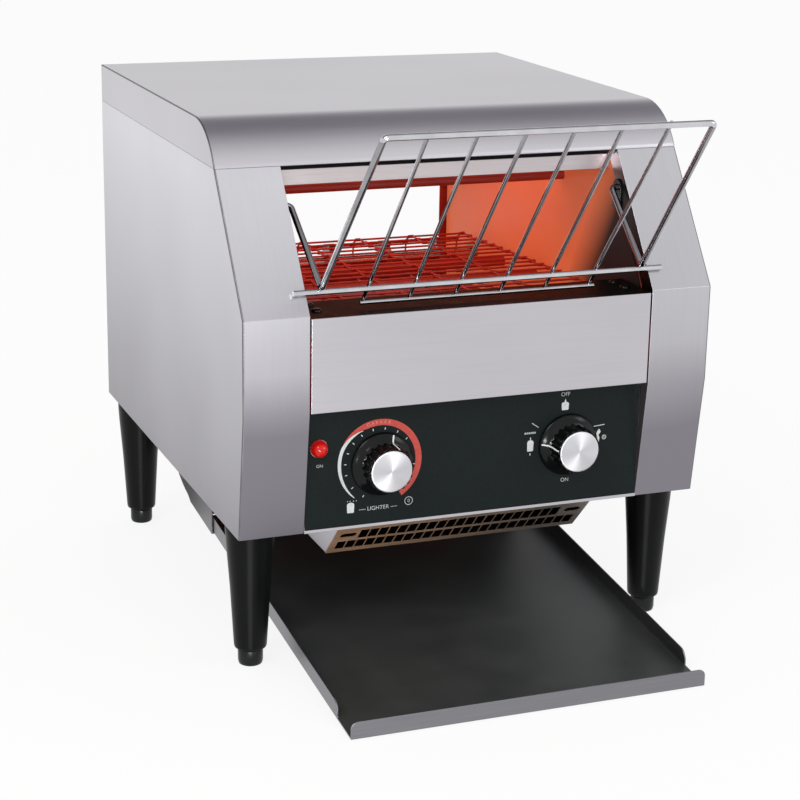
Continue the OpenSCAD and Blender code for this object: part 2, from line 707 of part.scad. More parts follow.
module fan_frame() color(black) placed() translate([0, fan_y, floor_z]) {
  difference() {
    translate([-fan_s / 2, -fan_s / 2, 0]) cube([fan_s, fan_s, fan_t]);
    translate([0, 0, -1]) cylinder(r = fan_r, h = fan_t + 2);
    for (x = [-1, 1], y = [-1, 1]) translate([x * (fan_s / 2 - 5), y * (fan_s / 2 - 5), -1])
      cylinder(r = 2.2, h = fan_t + 2);
  }
  for (a = [45, 135]) rotate([0, 0, a]) translate([-fan_r - 1, -strut_t / 2, 0])
    cube([2 * fan_r + 2, strut_t, 3]);
  cylinder(r = fan_hub_r, h = 4);
  cylinder(r = fan_pin_r, h = fan_t - 7);
}

module fan_rotor() color("#26282a") placed() translate([0, fan_y, floor_z + 4 + gap]) difference() {
  union() {
    cylinder(r = fan_hub_r, h = fan_t - 6);
    intersection() {
      for (i = [0 : fan_blades - 1]) rotate([0, 0, i * 360 / fan_blades])
        translate([fan_hub_r - 2, 0, (fan_t - 6) / 2]) rotate([38, 0, 0])
        translate([0, -12, -0.8]) cube([fan_r, 24, 1.6]);
      cylinder(r = fan_r - 1.5, h = fan_t - 6);
    }
  }
  translate([0, 0, -1]) cylinder(r = fan_pin_r + run, h = fan_t - 8);
}

module terminal_block() color("#d8d2c0") placed() difference() {
  box(block_x, block_x + 5.16 * block_pitch, block_y, block_y + 22, floor_z, floor_z + 20);
  for (i = [0 : 4]) translate([block_x + 3 + i * block_pitch, block_y - 1, floor_z + 8])
    cube([block_pitch - 4, 7, 13]);
}

module relay() color("#2f3336") placed() {
  box(relay_x, relay_x + relay_w, relay_y, relay_y + relay_w - 2, floor_z, floor_z + relay_w);
  for (i = [0 : 3]) translate([relay_x + 5 + 10 * i, relay_y + 4, floor_z + relay_w])
    cube([6, relay_w - 10, 8]);
}

module thermostat() color(bright) placed() {
  y = (upper_y[0] + upper_y[1]) / 2;
  z = upper_z - 14;
  disc_x(wall_out, wall_out + 5, y, z, 9);
  for (dy = [-5, 5]) box(wall_out + 5, wall_out + 12, y + dy - 0.5, y + dy + 0.5, z - 3, z + 3);
}

// ---- Toast chute and tray ----

function tray_z(y) = tray_low + (y + tray_front) * tan(tray_slope);
function arc(c, r, a0, a1, n) = [for (i = [0 : n]) let (a = a0 + i * (a1 - a0) / n)
  c + r * [cos(a), sin(a)]];

// The chute's curve, from its front edge behind the tray to the underside of the body
function chute_line(off) = let (c = [chute_c_y, knee_z + chute_r * cos(tray_slope)])
  concat([[tray_back + gap, tray_z(tray_back + gap) + tray_t + gap + off]],
    arc(c, chute_r - off, tray_slope - 90, chute_end - 90, 14));

module toast_chute() color(bright) placed() {
  line = chute_line(0);
  last = line[len(line) - 1];
  along_x(-chute_x, chute_x) intersection() {
    polygon(concat(line, [for (i = [len(line) - 1 : -1 : 0]) chute_line(tray_t)[i]]));
    translate([0, 0]) square([body_d, underside_z]);
  }
  // Cheeks at the sides, hung from the underside, with lips that the tray slides on
  for (s = [-1, 1]) sided(s) {
    along_x(chute_x, chute_x + tray_t) polygon(concat(
      [[runner_y0, underside_z], [runner_y0, tray_z(runner_y0) - gap - tray_t],
       [knee_y, tray_z(knee_y) - gap - tray_t]],
      [for (i = [2 : len(line) - 2]) line[i]], [[last[0], underside_z]]));
    along_x(chute_x - runner_w, chute_x + tray_t) polygon([
      [runner_y0, tray_z(runner_y0) - gap - tray_t], [tray_back, tray_z(tray_back) - gap - tray_t],
      [tray_back, tray_z(tray_back) - gap], [runner_y0, tray_z(runner_y0) - gap]]);
  }
}

module toast_tray() color("#8f9092") placed() {
  y0 = -tray_front;
  wall_y = y0 + tray_walls_y;
  difference() {
    along_x(-tray_x, tray_x) polygon([[y0, tray_low], [tray_back, tray_z(tray_back)],
      [tray_back, tray_z(tray_back) + tray_t], [y0 + tray_t, tray_z(y0 + tray_t) + tray_t],
      [y0 + tray_t, tray_low + tray_wall], [y0, tray_low + tray_wall]]);
    // Rounded ends of the lip
    for (s = [-1, 1]) sided(s) translate([0, y0 + tray_t + 1, tray_low]) rotate([90, 0, 0])
      linear_extrude(tray_t + 2) polygon(concat([[tray_x - 5, tray_wall + 1]],
        arc([tray_x - 5, tray_wall - 5], 5, 90, 0, 6),
        [[tray_x + 1, tray_wall - 5], [tray_x + 1, tray_wall + 1]]));
  }
  for (s = [-1, 1]) sided(s) along_x(tray_x - tray_t, tray_x) polygon(concat(
    [[tray_back, tray_z(tray_back) + tray_t / 2], [tray_back, tray_z(tray_back) + tray_wall]],
    arc([wall_y + 9, tray_z(wall_y) + tray_wall - 9], 9, 90, 180, 6),
    [[wall_y, tray_z(wall_y) + tray_t / 2]]));
}

// ---- Feed rack ----

// A point of the build frame at s up the rack's lean and g in front of its cross bar
function rack_pt(s, g) = [rest_y, rest_z] + s * [-cos(rack_lean), sin(rack_lean)]
  - g * [sin(rack_lean), cos(rack_lean)];

module feed_rack() color(bright) placed() {
  bend = rack_pt(bend_s, frame_g);
  top = rack_pt(rack_l - corner_r, frame_g);
  pivot = [pivot_y, pivot_z];
  disc_x(-rack_bar_x, rack_bar_x, rest_y, rest_z, bar_r);
  for (s = [-1, 1]) sided(s) {
    translate([rack_x, bend[0], bend[1]]) sphere(r = rack_r * 1.04);
    rod_yz(rack_x, bend, top, rack_r);
    rod_yz(rack_x, bend, pivot, rack_r);
    translate([rack_x, pivot_y, pivot_z]) sphere(r = rack_r * 1.04);
    disc_x(rack_x, post_in - gap - 0.1, pivot_y, pivot_z, rack_r);
  }
  translate([0, rest_y, rest_z]) rotate([180 - rack_lean, 0, 0]) translate([0, 0, frame_g]) {
    for (s = [-1, 1]) sided(s) translate([rack_x - corner_r, rack_l - corner_r, 0])
      rotate_extrude(angle = 90) translate([corner_r, 0]) circle(r = rack_r);
    translate([corner_r - rack_x, rack_l, 0]) rotate([0, 90, 0])
      cylinder(r = rack_r, h = 2 * (rack_x - corner_r));
  }
  // Ramp wires and the lower bar that joins their ends
  translate([0, rest_y, rest_z]) rotate([180 - rack_lean, 0, 0]) {
    outer = (rack_wires - 1) / 2 * rack_pitch;
    for (i = [0 : rack_wires - 1]) translate([i * rack_pitch - outer, lower_bar_s - 1, wires_g])
      rotate([-90, 0, 0]) cylinder(r = wire_r, h = rack_l - lower_bar_s + 1);
    translate([-outer - 3, lower_bar_s, wires_g + 2 * wire_r - weld]) rotate([0, 90, 0])
      cylinder(r = wire_r, h = 2 * outer + 6);
  }
}

// Round rod from a to b, both points of the y-z plane
module rod_yz(x, a, b, r) {
  d = b - a;
  translate([x, a[0], a[1]]) rotate([-atan2(d[0], d[1]), 0, 0]) cylinder(r = r, h = norm(d));
}

module rack_bracket(s) color(bright) placed() sided(s) difference() {
  union() {
    disc_x(post_in - bracket_t, post_in, pivot_y, pivot_z, rack_r + 4);
    box(post_in - bracket_t, post_in, pivot_y - rack_r - 4, pivot_y + rack_r + 4,
      pivot_z - 16, pivot_z);
  }
  disc_x(post_in - bracket_t - 1, post_in + 1, pivot_y, pivot_z, rack_r + run);
}

// ---- Legs ----

module leg(x, y) color(black) placed() translate([x, y, 0]) difference() {
  rotate_extrude() polygon([[0, foot_h + gap], [leg_end_r - 1, foot_h + gap],
    [leg_end_r, foot_h + gap + 1.5], [leg_top_r, underside_z - 6], [leg_top_r, underside_z],
    [0, underside_z]]);
  translate([0, 0, foot_h]) cylinder(r = stem_r + run, h = 36);
}

module foot(x, y) color(black) placed() translate([x, y, 0]) rotate_extrude() polygon([[0, 0],
  [foot_r - 0.8, 0], [foot_r, 0.8], [foot_r, foot_h - 0.6], [foot_r - 0.6, foot_h],
  [stem_r, foot_h], [stem_r, foot_h + 32], [0, foot_h + 32]]);

module side_panel_left() side_panel(-1);
module side_panel_right() side_panel(1);
module chamber_wall_left() chamber_wall(-1);
module chamber_wall_right() chamber_wall(1);
module rack_bracket_left() rack_bracket(-1);
module rack_bracket_right() rack_bracket(1);
module leg_front_left() leg(-leg_x, leg_front_y);
module leg_front_right() leg(leg_x, leg_front_y);
module leg_rear_left() leg(-leg_x, leg_back_y);
module leg_rear_right() leg(leg_x, leg_back_y);
module foot_front_left() foot(-leg_x, leg_front_y);
module foot_front_right() foot(leg_x, leg_front_y);
module foot_rear_left() foot(-leg_x, leg_back_y);
module foot_rear_right() foot(leg_x, leg_back_y);

side_panel_left();
side_panel_right();
top_cover();
front_panel();
control_panel();
control_overlay();
indicator_lamp();
speed_knob();
speed_knob_cap();
speed_control();
selector_knob();
selector_knob_cap();
selector_switch();
feed_ledge();
ledge_screws();
back_panel();
back_screws();
cord_gland();
bottom_panel();
air_duct();
intake_grille();
chamber_wall_left();
chamber_wall_right();
ceiling_reflector();
front_baffle();
upper_elements();
lower_elements();
floor_reflector();
drop_guard();
conveyor_belt();
drive_shaft();
drive_sprockets();
chain_wheel();
idler_shaft();
idler_pulleys();
shaft_bearings();
gearmotor();
motor_sprocket();
drive_chain();
fan_frame();
fan_rotor();
terminal_block();
relay();
thermostat();
toast_chute();
toast_tray();
feed_rack();
rack_bracket_left();
rack_bracket_right();
leg_front_left();
leg_front_right();
leg_rear_left();
leg_rear_right();
foot_front_left();
foot_front_right();
foot_rear_left();
foot_rear_right();
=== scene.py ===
"""Conveyor toaster for a shop counter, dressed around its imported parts. Metres, z up."""
import math

import bmesh
import bpy
from mathutils import Matrix, Vector


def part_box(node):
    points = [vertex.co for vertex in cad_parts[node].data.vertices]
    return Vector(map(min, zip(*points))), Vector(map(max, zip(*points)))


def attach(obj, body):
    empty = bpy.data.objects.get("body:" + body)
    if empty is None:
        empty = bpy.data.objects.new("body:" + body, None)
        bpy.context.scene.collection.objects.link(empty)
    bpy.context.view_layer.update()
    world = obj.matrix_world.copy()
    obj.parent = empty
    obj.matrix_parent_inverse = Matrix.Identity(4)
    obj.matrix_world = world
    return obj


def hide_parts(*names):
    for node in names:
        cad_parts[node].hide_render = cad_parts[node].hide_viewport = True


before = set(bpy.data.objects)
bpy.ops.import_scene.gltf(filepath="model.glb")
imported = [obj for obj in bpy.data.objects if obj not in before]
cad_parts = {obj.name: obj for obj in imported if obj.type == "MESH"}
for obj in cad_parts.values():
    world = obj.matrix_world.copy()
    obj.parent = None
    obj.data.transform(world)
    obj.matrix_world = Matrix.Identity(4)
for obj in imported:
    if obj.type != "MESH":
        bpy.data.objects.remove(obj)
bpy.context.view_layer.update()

# ---- Camera ----
# A long lens a little above the hood, off to the toaster's left. It looks down by some 17
# degrees, with one degree of roll.
yaw, pitch, roll = math.radians(21.4573), math.radians(16.6099), math.radians(1.0529)
ahead = Vector((math.sin(yaw) * math.cos(pitch), math.cos(yaw) * math.cos(pitch),
                -math.sin(pitch)))
level = Vector((math.cos(yaw), -math.sin(yaw), 0))
above = level.cross(ahead)
front_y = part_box("front_panel")[0].y
stand = Vector((-0.58417, front_y - 1.31796, 0.63215))
lens = bpy.data.cameras.new("camera")
lens.lens, lens.sensor_width, lens.clip_end = 92.387, 36, 60
camera = bpy.data.objects.new("camera", lens)
camera.matrix_world = Matrix.Translation(stand) @ Matrix((
    math.cos(roll) * level + math.sin(roll) * above,
    math.cos(roll) * above - math.sin(roll) * level, -ahead)).transposed().to_4x4()
scene = bpy.context.scene
scene.collection.objects.link(camera)
scene.camera = camera
scene.view_settings.view_transform = "Standard"


# ---- Studio ----
# A white sweep all round, a ceiling that darkens from front to back, which the rolled hood
# picks up, a soft lamp high at the left and a weaker one lower at the right.
def linear(code):
    """The linear colour of an sRGB hex value"""
    parts = [int(code[i:i + 2], 16) / 255 for i in (1, 3, 5)]
    return [c / 12.92 if c < 0.04045 else ((c + 0.055) / 1.055) ** 2.4 for c in parts] + [1]


def add(tree, kind, inputs=None, **settings):
    """Adds a shader node, its settings, and its inputs: values, or outputs to link from"""
    node = tree.nodes.new("ShaderNode" + kind)
    for name, value in settings.items():
        setattr(node, name, value)
    for name, value in (inputs or {}).items():
        if isinstance(value, bpy.types.NodeSocket):
            tree.links.new(value, node.inputs[name])
        else:
            node.inputs[name].default_value = value
    return node


def blend(tree, factor, first, second):
    """The colour some way from first to second"""
    return add(tree, "Mix", {0: factor, 6: first, 7: second}, data_type="RGBA").outputs[2]


def seen_rays(tree):
    """1 for the rays that show the studio itself: seen directly, in gloss or through glass"""
    light_path = add(tree, "LightPath").outputs
    some = add(tree, "Math", {0: light_path["Is Camera Ray"], 1: light_path["Is Glossy Ray"]})
    return add(tree, "Math", {0: some.outputs[0], 1: light_path["Is Transmission Ray"]},
               use_clamp=True).outputs[0]


world = bpy.data.worlds.new("studio")
scene.world = world
world.use_nodes = True
sky = world.node_tree
sky.nodes.clear()
heading = add(sky, "SeparateXYZ", {0: add(sky, "TexCoord").outputs["Generated"]}).outputs
overhead = add(sky, "MapRange", {"Value": heading["Z"], "From Min": 0.36, "From Max": 0.54})
behind = add(sky, "MapRange", {"Value": heading["Y"], "From Min": -0.55, "From Max": 0.3})
ceiling = add(sky, "Math", {0: overhead.outputs[0], 1: behind.outputs[0]}, operation="MULTIPLY")
shown = blend(sky, ceiling.outputs[0], (1, 1, 1, 1), linear("#87858b"))
lit = blend(sky, seen_rays(sky), (0.8, 0.8, 0.8, 1), shown)
backdrop = add(sky, "Background", {"Color": lit})
add(sky, "OutputWorld", {"Surface": backdrop.outputs[0]})

floor_paint = bpy.data.materials.new("white_sweep")
floor_paint.use_nodes = True
tree = floor_paint.node_tree
tree.nodes.clear()
paper = add(tree, "BsdfDiffuse", {"Color": linear("#f4f4f4")})
glow = add(tree, "Emission", {"Color": (1, 1, 1, 1)})
pale = add(tree, "MixShader", {0: 0.86, 1: paper.outputs[0], 2: glow.outputs[0]})
under = add(tree, "MixShader", {0: seen_rays(tree), 1: paper.outputs[0], 2: pale.outputs[0]})
add(tree, "OutputMaterial", {"Surface": under.outputs[0]})
bm = bmesh.new()
bmesh.ops.create_grid(bm, x_segments=1, y_segments=1, size=25)
sweep = bpy.data.meshes.new("floor")
bm.to_mesh(sweep)
bm.free()
sweep.materials.append(floor_paint)
floor = bpy.data.objects.new("floor", sweep)
scene.collection.objects.link(floor)


def lamp(name, power, place, target, tone, width, height=None):
    """An area lamp at place, turned to target: a square, or a rectangle with a height"""
    light = bpy.data.lights.new(name, "AREA")
    light.energy, light.size, light.color = power, width, linear(tone)[:3]
    if height:
        light.shape, light.size_y = "RECTANGLE", height
    holder = bpy.data.objects.new(name, light)
    holder.matrix_world = Matrix.Translation(place) @ (
        Vector(target) - Vector(place)).to_track_quat("-Z", "Y").to_matrix().to_4x4()
    scene.collection.objects.link(holder)
    return holder


lamp("soft_lamp", 20, (-1.5, -1.3, 1.9), (0, 0, 0.2), "#fffdf8", 1.1)
lamp("fill_lamp", 7, (1.7, -1.5, 1.0), (0, 0, 0.2), "#f6f8ff", 0.8)
# A low strip under the camera, for a soft upright gleam on the legs and knobs
strip_lamp = lamp("strip_lamp", 17, (-0.66, -1.68, 0.07), (0, 0, 0.07), "#ffffff", 0.7, 0.12)
strip_lamp.visible_diffuse = False


# ---- Side sheets ----
# 1.5 mm stainless with a fine brushed finish. Each side is folded at the front into a corner
# post, bent at two heights, and folded again into a flange that stiffens the post.
def surface(name, tone, metallic, roughness, **sockets):
    """A material with that constant finish, its nodes and its shader"""
    material = bpy.data.materials.new(name)
    material.use_nodes = True
    shader = material.node_tree.nodes["Principled BSDF"]
    constants = {"Base Color": linear(tone), "Metallic": metallic, "Roughness": roughness}
    for socket, value in {**constants, **sockets}.items():
        shader.inputs[socket].default_value = value
    return material, material.node_tree, shader


def along(tree, axis):
    """The object coordinate along an axis"""
    return add(tree, "SeparateXYZ", {0: add(tree, "TexCoord").outputs["Object"]}).outputs[axis]


def vary(material, size, tones, roughness, relief=0.0):
    """Noise of a size in mm along x, y and z: in colour, roughness and relief in mm"""
    tree = material.node_tree
    shader = tree.nodes["Principled BSDF"]
    place = add(tree, "TexCoord").outputs["Object"]
    scaled = add(tree, "Mapping", {0: place, "Scale": [1000 / s for s in size]}).outputs[0]
    noise = add(tree, "TexNoise", {0: scaled, "Scale": 1, "Detail": 3}).outputs[0]
    spread = add(tree, "MapRange", {0: noise, 1: 0.3, 2: 0.7}).outputs[0]
    tint = blend(tree, spread, linear(tones[0]), linear(tones[1]))
    dull = add(tree, "MapRange", {0: spread, 3: roughness[0], 4: roughness[1]}).outputs[0]
    tree.links.new(tint, shader.inputs["Base Color"])
    tree.links.new(dull, shader.inputs["Roughness"])
    if relief:
        bump = add(tree, "Bump", {"Height": noise, "Distance": relief / 1000})
        tree.links.new(bump.outputs[0], shader.inputs["Normal"])
    return tint


def varied(name, tone, metallic, roughness, *noise, **sockets):
    """A material with a constant finish and the noise that vary takes"""
    material = surface(name, tone, metallic, roughness, **sockets)[0]
    vary(material, *noise)
    return material


def brushed(name, size, tones=("#c8c6cb", "#cccacf"), roughness=(0.31, 0.35), foot=0.0):
    """Brushed stainless: streaks some 60 mm long and under 1 mm wide, so fine that they hardly
    show, over a slow cloudiness from the rolling of the sheet, with painted shade on downward
    faces and towards the foot"""
    material, tree, shader = surface(name, tones[0], 1.0, 0.33)
    tint = vary(material, size, tones, roughness, 0.0012)
    place = add(tree, "TexCoord").outputs["Object"]
    cloud = add(tree, "TexNoise", {0: place, "Scale": 7, "Detail": 1}).outputs[0]
    soft = add(tree, "MapRange", {0: cloud, 1: 0.3, 2: 0.7, 3: 0.0, 4: 0.1}).outputs[0]
    # Painted shade: faces that point downwards are darkened, and tall sheets darken a little
    # towards their foot, by as much as foot says. The slow cloudiness darkens at random too
    normal = add(tree, "SeparateXYZ", {0: add(tree, "NewGeometry").outputs["Normal"]})
    painted_shade_down = add(tree, "MapRange", {0: normal.outputs["Z"], 1: -0.04, 2: -0.12, 3: 0.0, 4: 0.72})
    low = add(tree, "MapRange", {0: along(tree, "Z"), 1: 0.36, 2: 0.11, 3: 0.0, 4: foot})
    cloud_and_painted_shade = add(tree, "Math", {0: soft, 1: painted_shade_down.outputs[0]})
    cloud_and_painted_shade = add(tree, "Math", {0: cloud_and_painted_shade.outputs[0], 1: low.outputs[0]}, use_clamp=True).outputs[0]
    tree.links.new(blend(tree, cloud_and_painted_shade, tint, linear("#838087")), shader.inputs["Base Color"])
    return material


# Painted light and shade: one stainless is toned lightest on the left side, darker on the right
# and darkest on the front, and its painted shade towards the foot is deeper on the left
side_steel = {
    "left": brushed("brushed_stainless_left", (0.6, 60.0, 60.0), ("#d8d7dc", "#dddce1"), foot=0.9),
    "right": brushed("brushed_stainless_right", (0.6, 60.0, 60.0), ("#c8c7cb", "#cdccd0"),
                     foot=0.6)}
front_steel = brushed("brushed_stainless_front", (60.0, 0.6, 0.6), ("#bcbabf", "#c0bec3"))
# The rounds of the long folds are painted dark: a painted shade along each fold
painted_fold_shade = varied("stainless_fold_painted_shade", "#6f6c72", 1.0, 0.42, (6, 6, 30),
                    ("#69666c", "#7d7a80"), (0.38, 0.46))


def clear_of_painted_shade(tree):
    """0 where shade is painted dark over what lies above the ledge: up to 80 mm behind the front
    face at a height of 300 mm. 1 from 45 mm further back, and everywhere under the ledge"""
    place = add(tree, "TexCoord").outputs["Object"]
    back = add(tree, "VectorMath", {0: place, 1: (0, 1, 0.6)}, operation="DOT_PRODUCT")
    clear = add(tree, "MapRange", {0: back.outputs["Value"], 1: front_y + 0.26,
                                   2: front_y + 0.305}).outputs[0]
    under = add(tree, "MapRange", {0: along(tree, "Z"), 1: 0.26, 2: 0.25}).outputs[0]
    return add(tree, "Math", {0: clear, 1: under}, operation="MAXIMUM").outputs[0]


def base_of(material):
    """A material's node tree, its shader's base colour and what is linked to that"""
    base = material.node_tree.nodes["Principled BSDF"].inputs["Base Color"]
    return material.node_tree, base, base.links[0].from_socket


# The posts' inner flanges: a pink cast painted as the chamber's glow, and painted shade near the
# ledge
flange_steel = brushed("stainless_flange_painted_glow_and_shade", (0.6, 60.0, 60.0), ("#b9abad", "#c4b8ba"))
tree, base, bare = base_of(flange_steel)
tree.links.new(blend(tree, clear_of_painted_shade(tree), linear("#231f20"), bare), base)


def merged(node):
    """A copy of a node's mesh, merged, with its flat faces joined"""
    bm = bmesh.new()
    bm.from_mesh(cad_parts[node].data)
    bmesh.ops.remove_doubles(bm, verts=bm.verts, dist=1e-6)
    bmesh.ops.dissolve_limit(bm, angle_limit=math.radians(1), verts=bm.verts, edges=bm.edges)
    return bm


def verts_of(geom):
    """The vertices among some mesh elements"""
    return [g for g in geom if isinstance(g, bmesh.types.BMVert)]


def folds(bm, degrees):
    """The edges where two faces meet at more than some degrees"""
    return [e for e in bm.edges
            if e.is_manifold and e.calc_face_angle() > math.radians(degrees)]


def bevelled(bm, edges, offset, segments):
    """Rounds edges, and returns the faces of the rounds"""
    return bmesh.ops.bevel(bm, geom=edges, offset=offset, segments=segments, profile=0.5,
                           affect="EDGES", material=-1, clamp_overlap=True)["faces"]


def rounded(bm, radius, segments=2, sharp=26):
    """A mesh with its edges rounded to a radius in mm"""
    bevelled(bm, folds(bm, sharp), radius / 1000, segments)
    return bm


def piece(name, bm, *finishes, sharp=38, flat=True):
    """The object of a finished mesh, smooth except at sharp edges"""
    mesh = bpy.data.meshes.new(name)
    bm.to_mesh(mesh)
    bm.free()
    for finish in finishes:
        mesh.materials.append(finish)
    mesh.polygons.foreach_set("use_smooth", [True] * len(mesh.polygons))
    mesh.set_sharp_from_angle(angle=math.radians(sharp))
    made = bpy.data.objects.new(name, mesh)
    scene.collection.objects.link(made)
    if flat:
        level_normals = made.modifiers.new("flat_faces_stay_flat", "WEIGHTED_NORMAL")
        level_normals.keep_sharp = True
    return made


def seat(made, body, slot, *nodes):
    """Lets a finished object ride a body, in place of CAD nodes. The slot is not used"""
    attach(made, body)
    for node in nodes:
        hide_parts(node)


def edged(name, node, radius, segments, finish, slot):
    """A node of the housing as it is, with rounded edges and a finish"""
    seat(piece(name, rounded(merged(node), radius, segments), finish), "housing", slot, node)


post_back, fold_r, edge_r = front_y + 0.0681, 0.0012, 0.00035
for side in ("left", "right"):
    node = "side_panel_" + side
    bm = merged(node)
    reach = max(abs(v.co.x) for v in bm.verts)
    flange = min(abs(v.co.x) for v in bm.verts) + 0.0002
    # The long fold between the side and the post, and then every other edge
    fold = [e for e in folds(bm, 60) if e.calc_length() > 0.05 and all(
        abs(abs(v.co.x) - reach) < 1e-5 and v.co.y < post_back for v in e.verts)]
    # The long fold's rounds take the painted fold shade
    for face in bevelled(bm, fold, fold_r, 3):
        face.material_index = 1
    bevelled(bm, folds(bm, 34), edge_r, 2)
    for face in bm.faces:
        if abs(face.calc_center_median().x) < flange:
            face.material_index = 2
    sheet = piece(side + "_side_sheet", bm, side_steel[side], painted_fold_shade, flange_steel)
    seat(sheet, "housing", "stainless", node)

# ---- Top cover ----
# One sheet rolled over the front to a 56 mm radius, with skirts folded down at the sides and
# the back. It drops over the side sheets.
mm = 0.001
cover_low, cover_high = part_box("top_cover")
roll_r, half_width = 56.0, 184.0
top_z, seam_z = cover_high.z / mm, cover_low.z / mm
roll_y = (cover_low.y - front_y) / mm + math.sqrt(roll_r ** 2 - (seam_z - top_z + roll_r) ** 2)
back_end = (cover_high.y - front_y) / mm


def fit(bm):
    """From the drawing's millimetres, with the front panel's face at y = 0, to the frame"""
    bmesh.ops.transform(bm, matrix=Matrix.Translation((0, front_y, 0)) @ Matrix.Scale(mm, 4),
                        verts=bm.verts)
    return bm


def drawn_piece(name, bm, finish, sharp=38):
    """The object of a mesh drawn in millimetres, its faces turned outwards"""
    bmesh.ops.recalc_face_normals(bm, faces=bm.faces)
    return piece(name, fit(bm), finish, flat=False, sharp=sharp)


def strip(bm, points):
    """A chain of edges through points"""
    line = [bm.verts.new(p) for p in points]
    return line, [bm.edges.new(pair) for pair in zip(line, line[1:])]


bm = bmesh.new()
start = math.asin((seam_z - top_z + roll_r) / roll_r)
foot = bm.verts.new((-half_width, roll_y - roll_r * math.cos(start), seam_z))
turn = bmesh.ops.spin(bm, geom=[foot], cent=(-half_width, roll_y, top_z - roll_r),
                      axis=(1, 0, 0), angle=start - math.pi / 2, steps=20)
crest = verts_of(turn["geom_last"])[0]
rear = bm.verts.new((-half_width, back_end, top_z))
low_rear = bm.verts.new((-half_width, back_end, seam_z))
bm.edges.new((crest, rear))
bm.edges.new((rear, low_rear))
bm.edges.new((low_rear, foot))
outline = list(bm.edges)
cheek = bmesh.ops.contextual_create(bm, geom=outline)["faces"]
drawn = bmesh.ops.extrude_face_region(bm, geom=cheek, use_keep_orig=True)["geom"]
bmesh.ops.translate(bm, vec=(2 * half_width, 0, 0), verts=verts_of(drawn))
bottom = [f for f in bm.faces if all(abs(v.co.z - seam_z) < 0.01 for v in f.verts)]
bmesh.ops.delete(bm, geom=bottom, context="FACES")
bmesh.ops.recalc_face_normals(bm, faces=bm.faces)
# The cover's folds take the painted fold shade too
for face in bevelled(bm, folds(bm, 60), 0.9, 3):
    face.material_index = 1
fit(bm)

# The roll is brushed along its length, which greys it below the crest
cover_steel = brushed("brushed_stainless_cover", (60.0, 0.6, 0.6))
cover = piece("rolled_top_cover", bm, cover_steel, painted_fold_shade)
wall = cover.modifiers.new("sheet", "SOLIDIFY")
wall.thickness, wall.offset, wall.use_even_offset = 0.0014, -1, True
cover.modifiers.move(1, 0)
seat(cover, "housing", "stainless", "top_cover")

# ---- Front panel and feed ledge ----
# The brushed front panel is bent back at its foot. Behind its top edge lies the black enamelled
# ledge that the bread slides over, held by four screws.
edged("front_sheet", "front_panel", 0.5, 3, front_steel, "stainless")

# Vitreous enamel: deep black, with a slow orange peel
ledge_enamel = varied("black_enamel", "#0c0d0d", 0.0, 0.3, (9, 9, 9), ("#0a0b0b", "#111212"),
                      (0.26, 0.36), 0.05, **{"Specular IOR Level": 0.02})
edged("feed_ledge_sheet", "feed_ledge", 0.5, 3, ledge_enamel, "black_enamel")


def turned(bm, profile, matrix, steps):
    """Turns a profile of (radius, height) round z, then places it"""
    before = set(bm.verts)
    line, edges = strip(bm, [(r, 0, h) for r, h in profile])
    bmesh.ops.spin(bm, geom=line + edges, cent=(0, 0, 0), axis=(0, 0, 1),
                   angle=2 * math.pi, steps=steps, use_merge=True)
    bmesh.ops.remove_doubles(bm, verts=[v for v in bm.verts if v not in before], dist=1e-4)
    bmesh.ops.transform(bm, matrix=matrix, verts=[v for v in bm.verts if v not in before])


def screw(bm, place, matrix, radius, height):
    """A pan head with a driver slot, standing on place"""
    before = set(bm.verts)
    turned(bm, [(0.05, height), (radius * 0.62, height * 0.94), (radius * 0.9, height * 0.62),
                (radius, height * 0.2), (radius, 0), (0.05, 0)], Matrix(), 20)
    for x in (-0.45, 0.45):
        near = [f for f in bm.faces if f.verts[0] not in before]
        geom = near + list({e for f in near for e in f.edges}) + list(
            {v for f in near for v in f.verts})
        bmesh.ops.bisect_plane(bm, geom=geom, plane_co=(x, 0, 0), plane_no=(1, 0, 0))
    slot = [f for f in bm.faces if f.verts[0] not in before and f.normal.z > 0.3
            and abs(f.calc_center_median().x) < 0.44]
    sunk = bmesh.ops.extrude_face_region(bm, geom=slot)["geom"]
    bmesh.ops.delete(bm, geom=slot, context="FACES_ONLY")
    for v in verts_of(sunk):
        v.co.z = min(v.co.z, height) - height * 0.45
    made = [v for v in bm.verts if v not in before]
    bmesh.ops.transform(bm, matrix=Matrix.Translation(place) @ matrix, verts=made)


# Zinc-plated steel: a bright grey with a faint warm cast
zinc = varied("zinc_plated_steel", "#b4b3b0", 1.0, 0.3, (2.5, 2.5, 2.5), ("#a3a29f", "#c0bfbc"),
              (0.24, 0.4))
blackened = varied("blackened_screw", "#2b2b2c", 1.0, 0.25, (2, 2, 2), ("#232324", "#3a3a3b"),
                   (0.18, 0.34))
ledge_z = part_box("feed_ledge")[1].z / mm
bm = bmesh.new()
for x in (-122.6, 122.6):
    for y in (22, 40):
        screw(bm, (x, y, ledge_z), Matrix.Rotation(0.6 + y, 4, "Z"), 4.0, 1.8)
heads = drawn_piece("ledge_screw_heads", bm, blackened)
seat(heads, "housing", "zinc_steel", "ledge_screws")

# ---- Control panel ----
# A set-back steel plate with a printed black film over it. The print is white and red ink:
# a scale round each knob, small pictures of bread, and plain words for the settings.
edged("control_plate", "control_panel", 0.3, 2, front_steel, "stainless")

# Textured polyester film: near black with a green cast and a very fine grain
film = varied("overlay_film", "#171d1d", 0.0, 0.38, (1.4, 1.4, 1.4), ("#121a1a", "#171f1f"),
              (0.34, 0.44), 0.006, **{"Specular IOR Level": 0.12})
edged("printed_overlay", "control_overlay", 0.12, 2, film, "overlay_film")

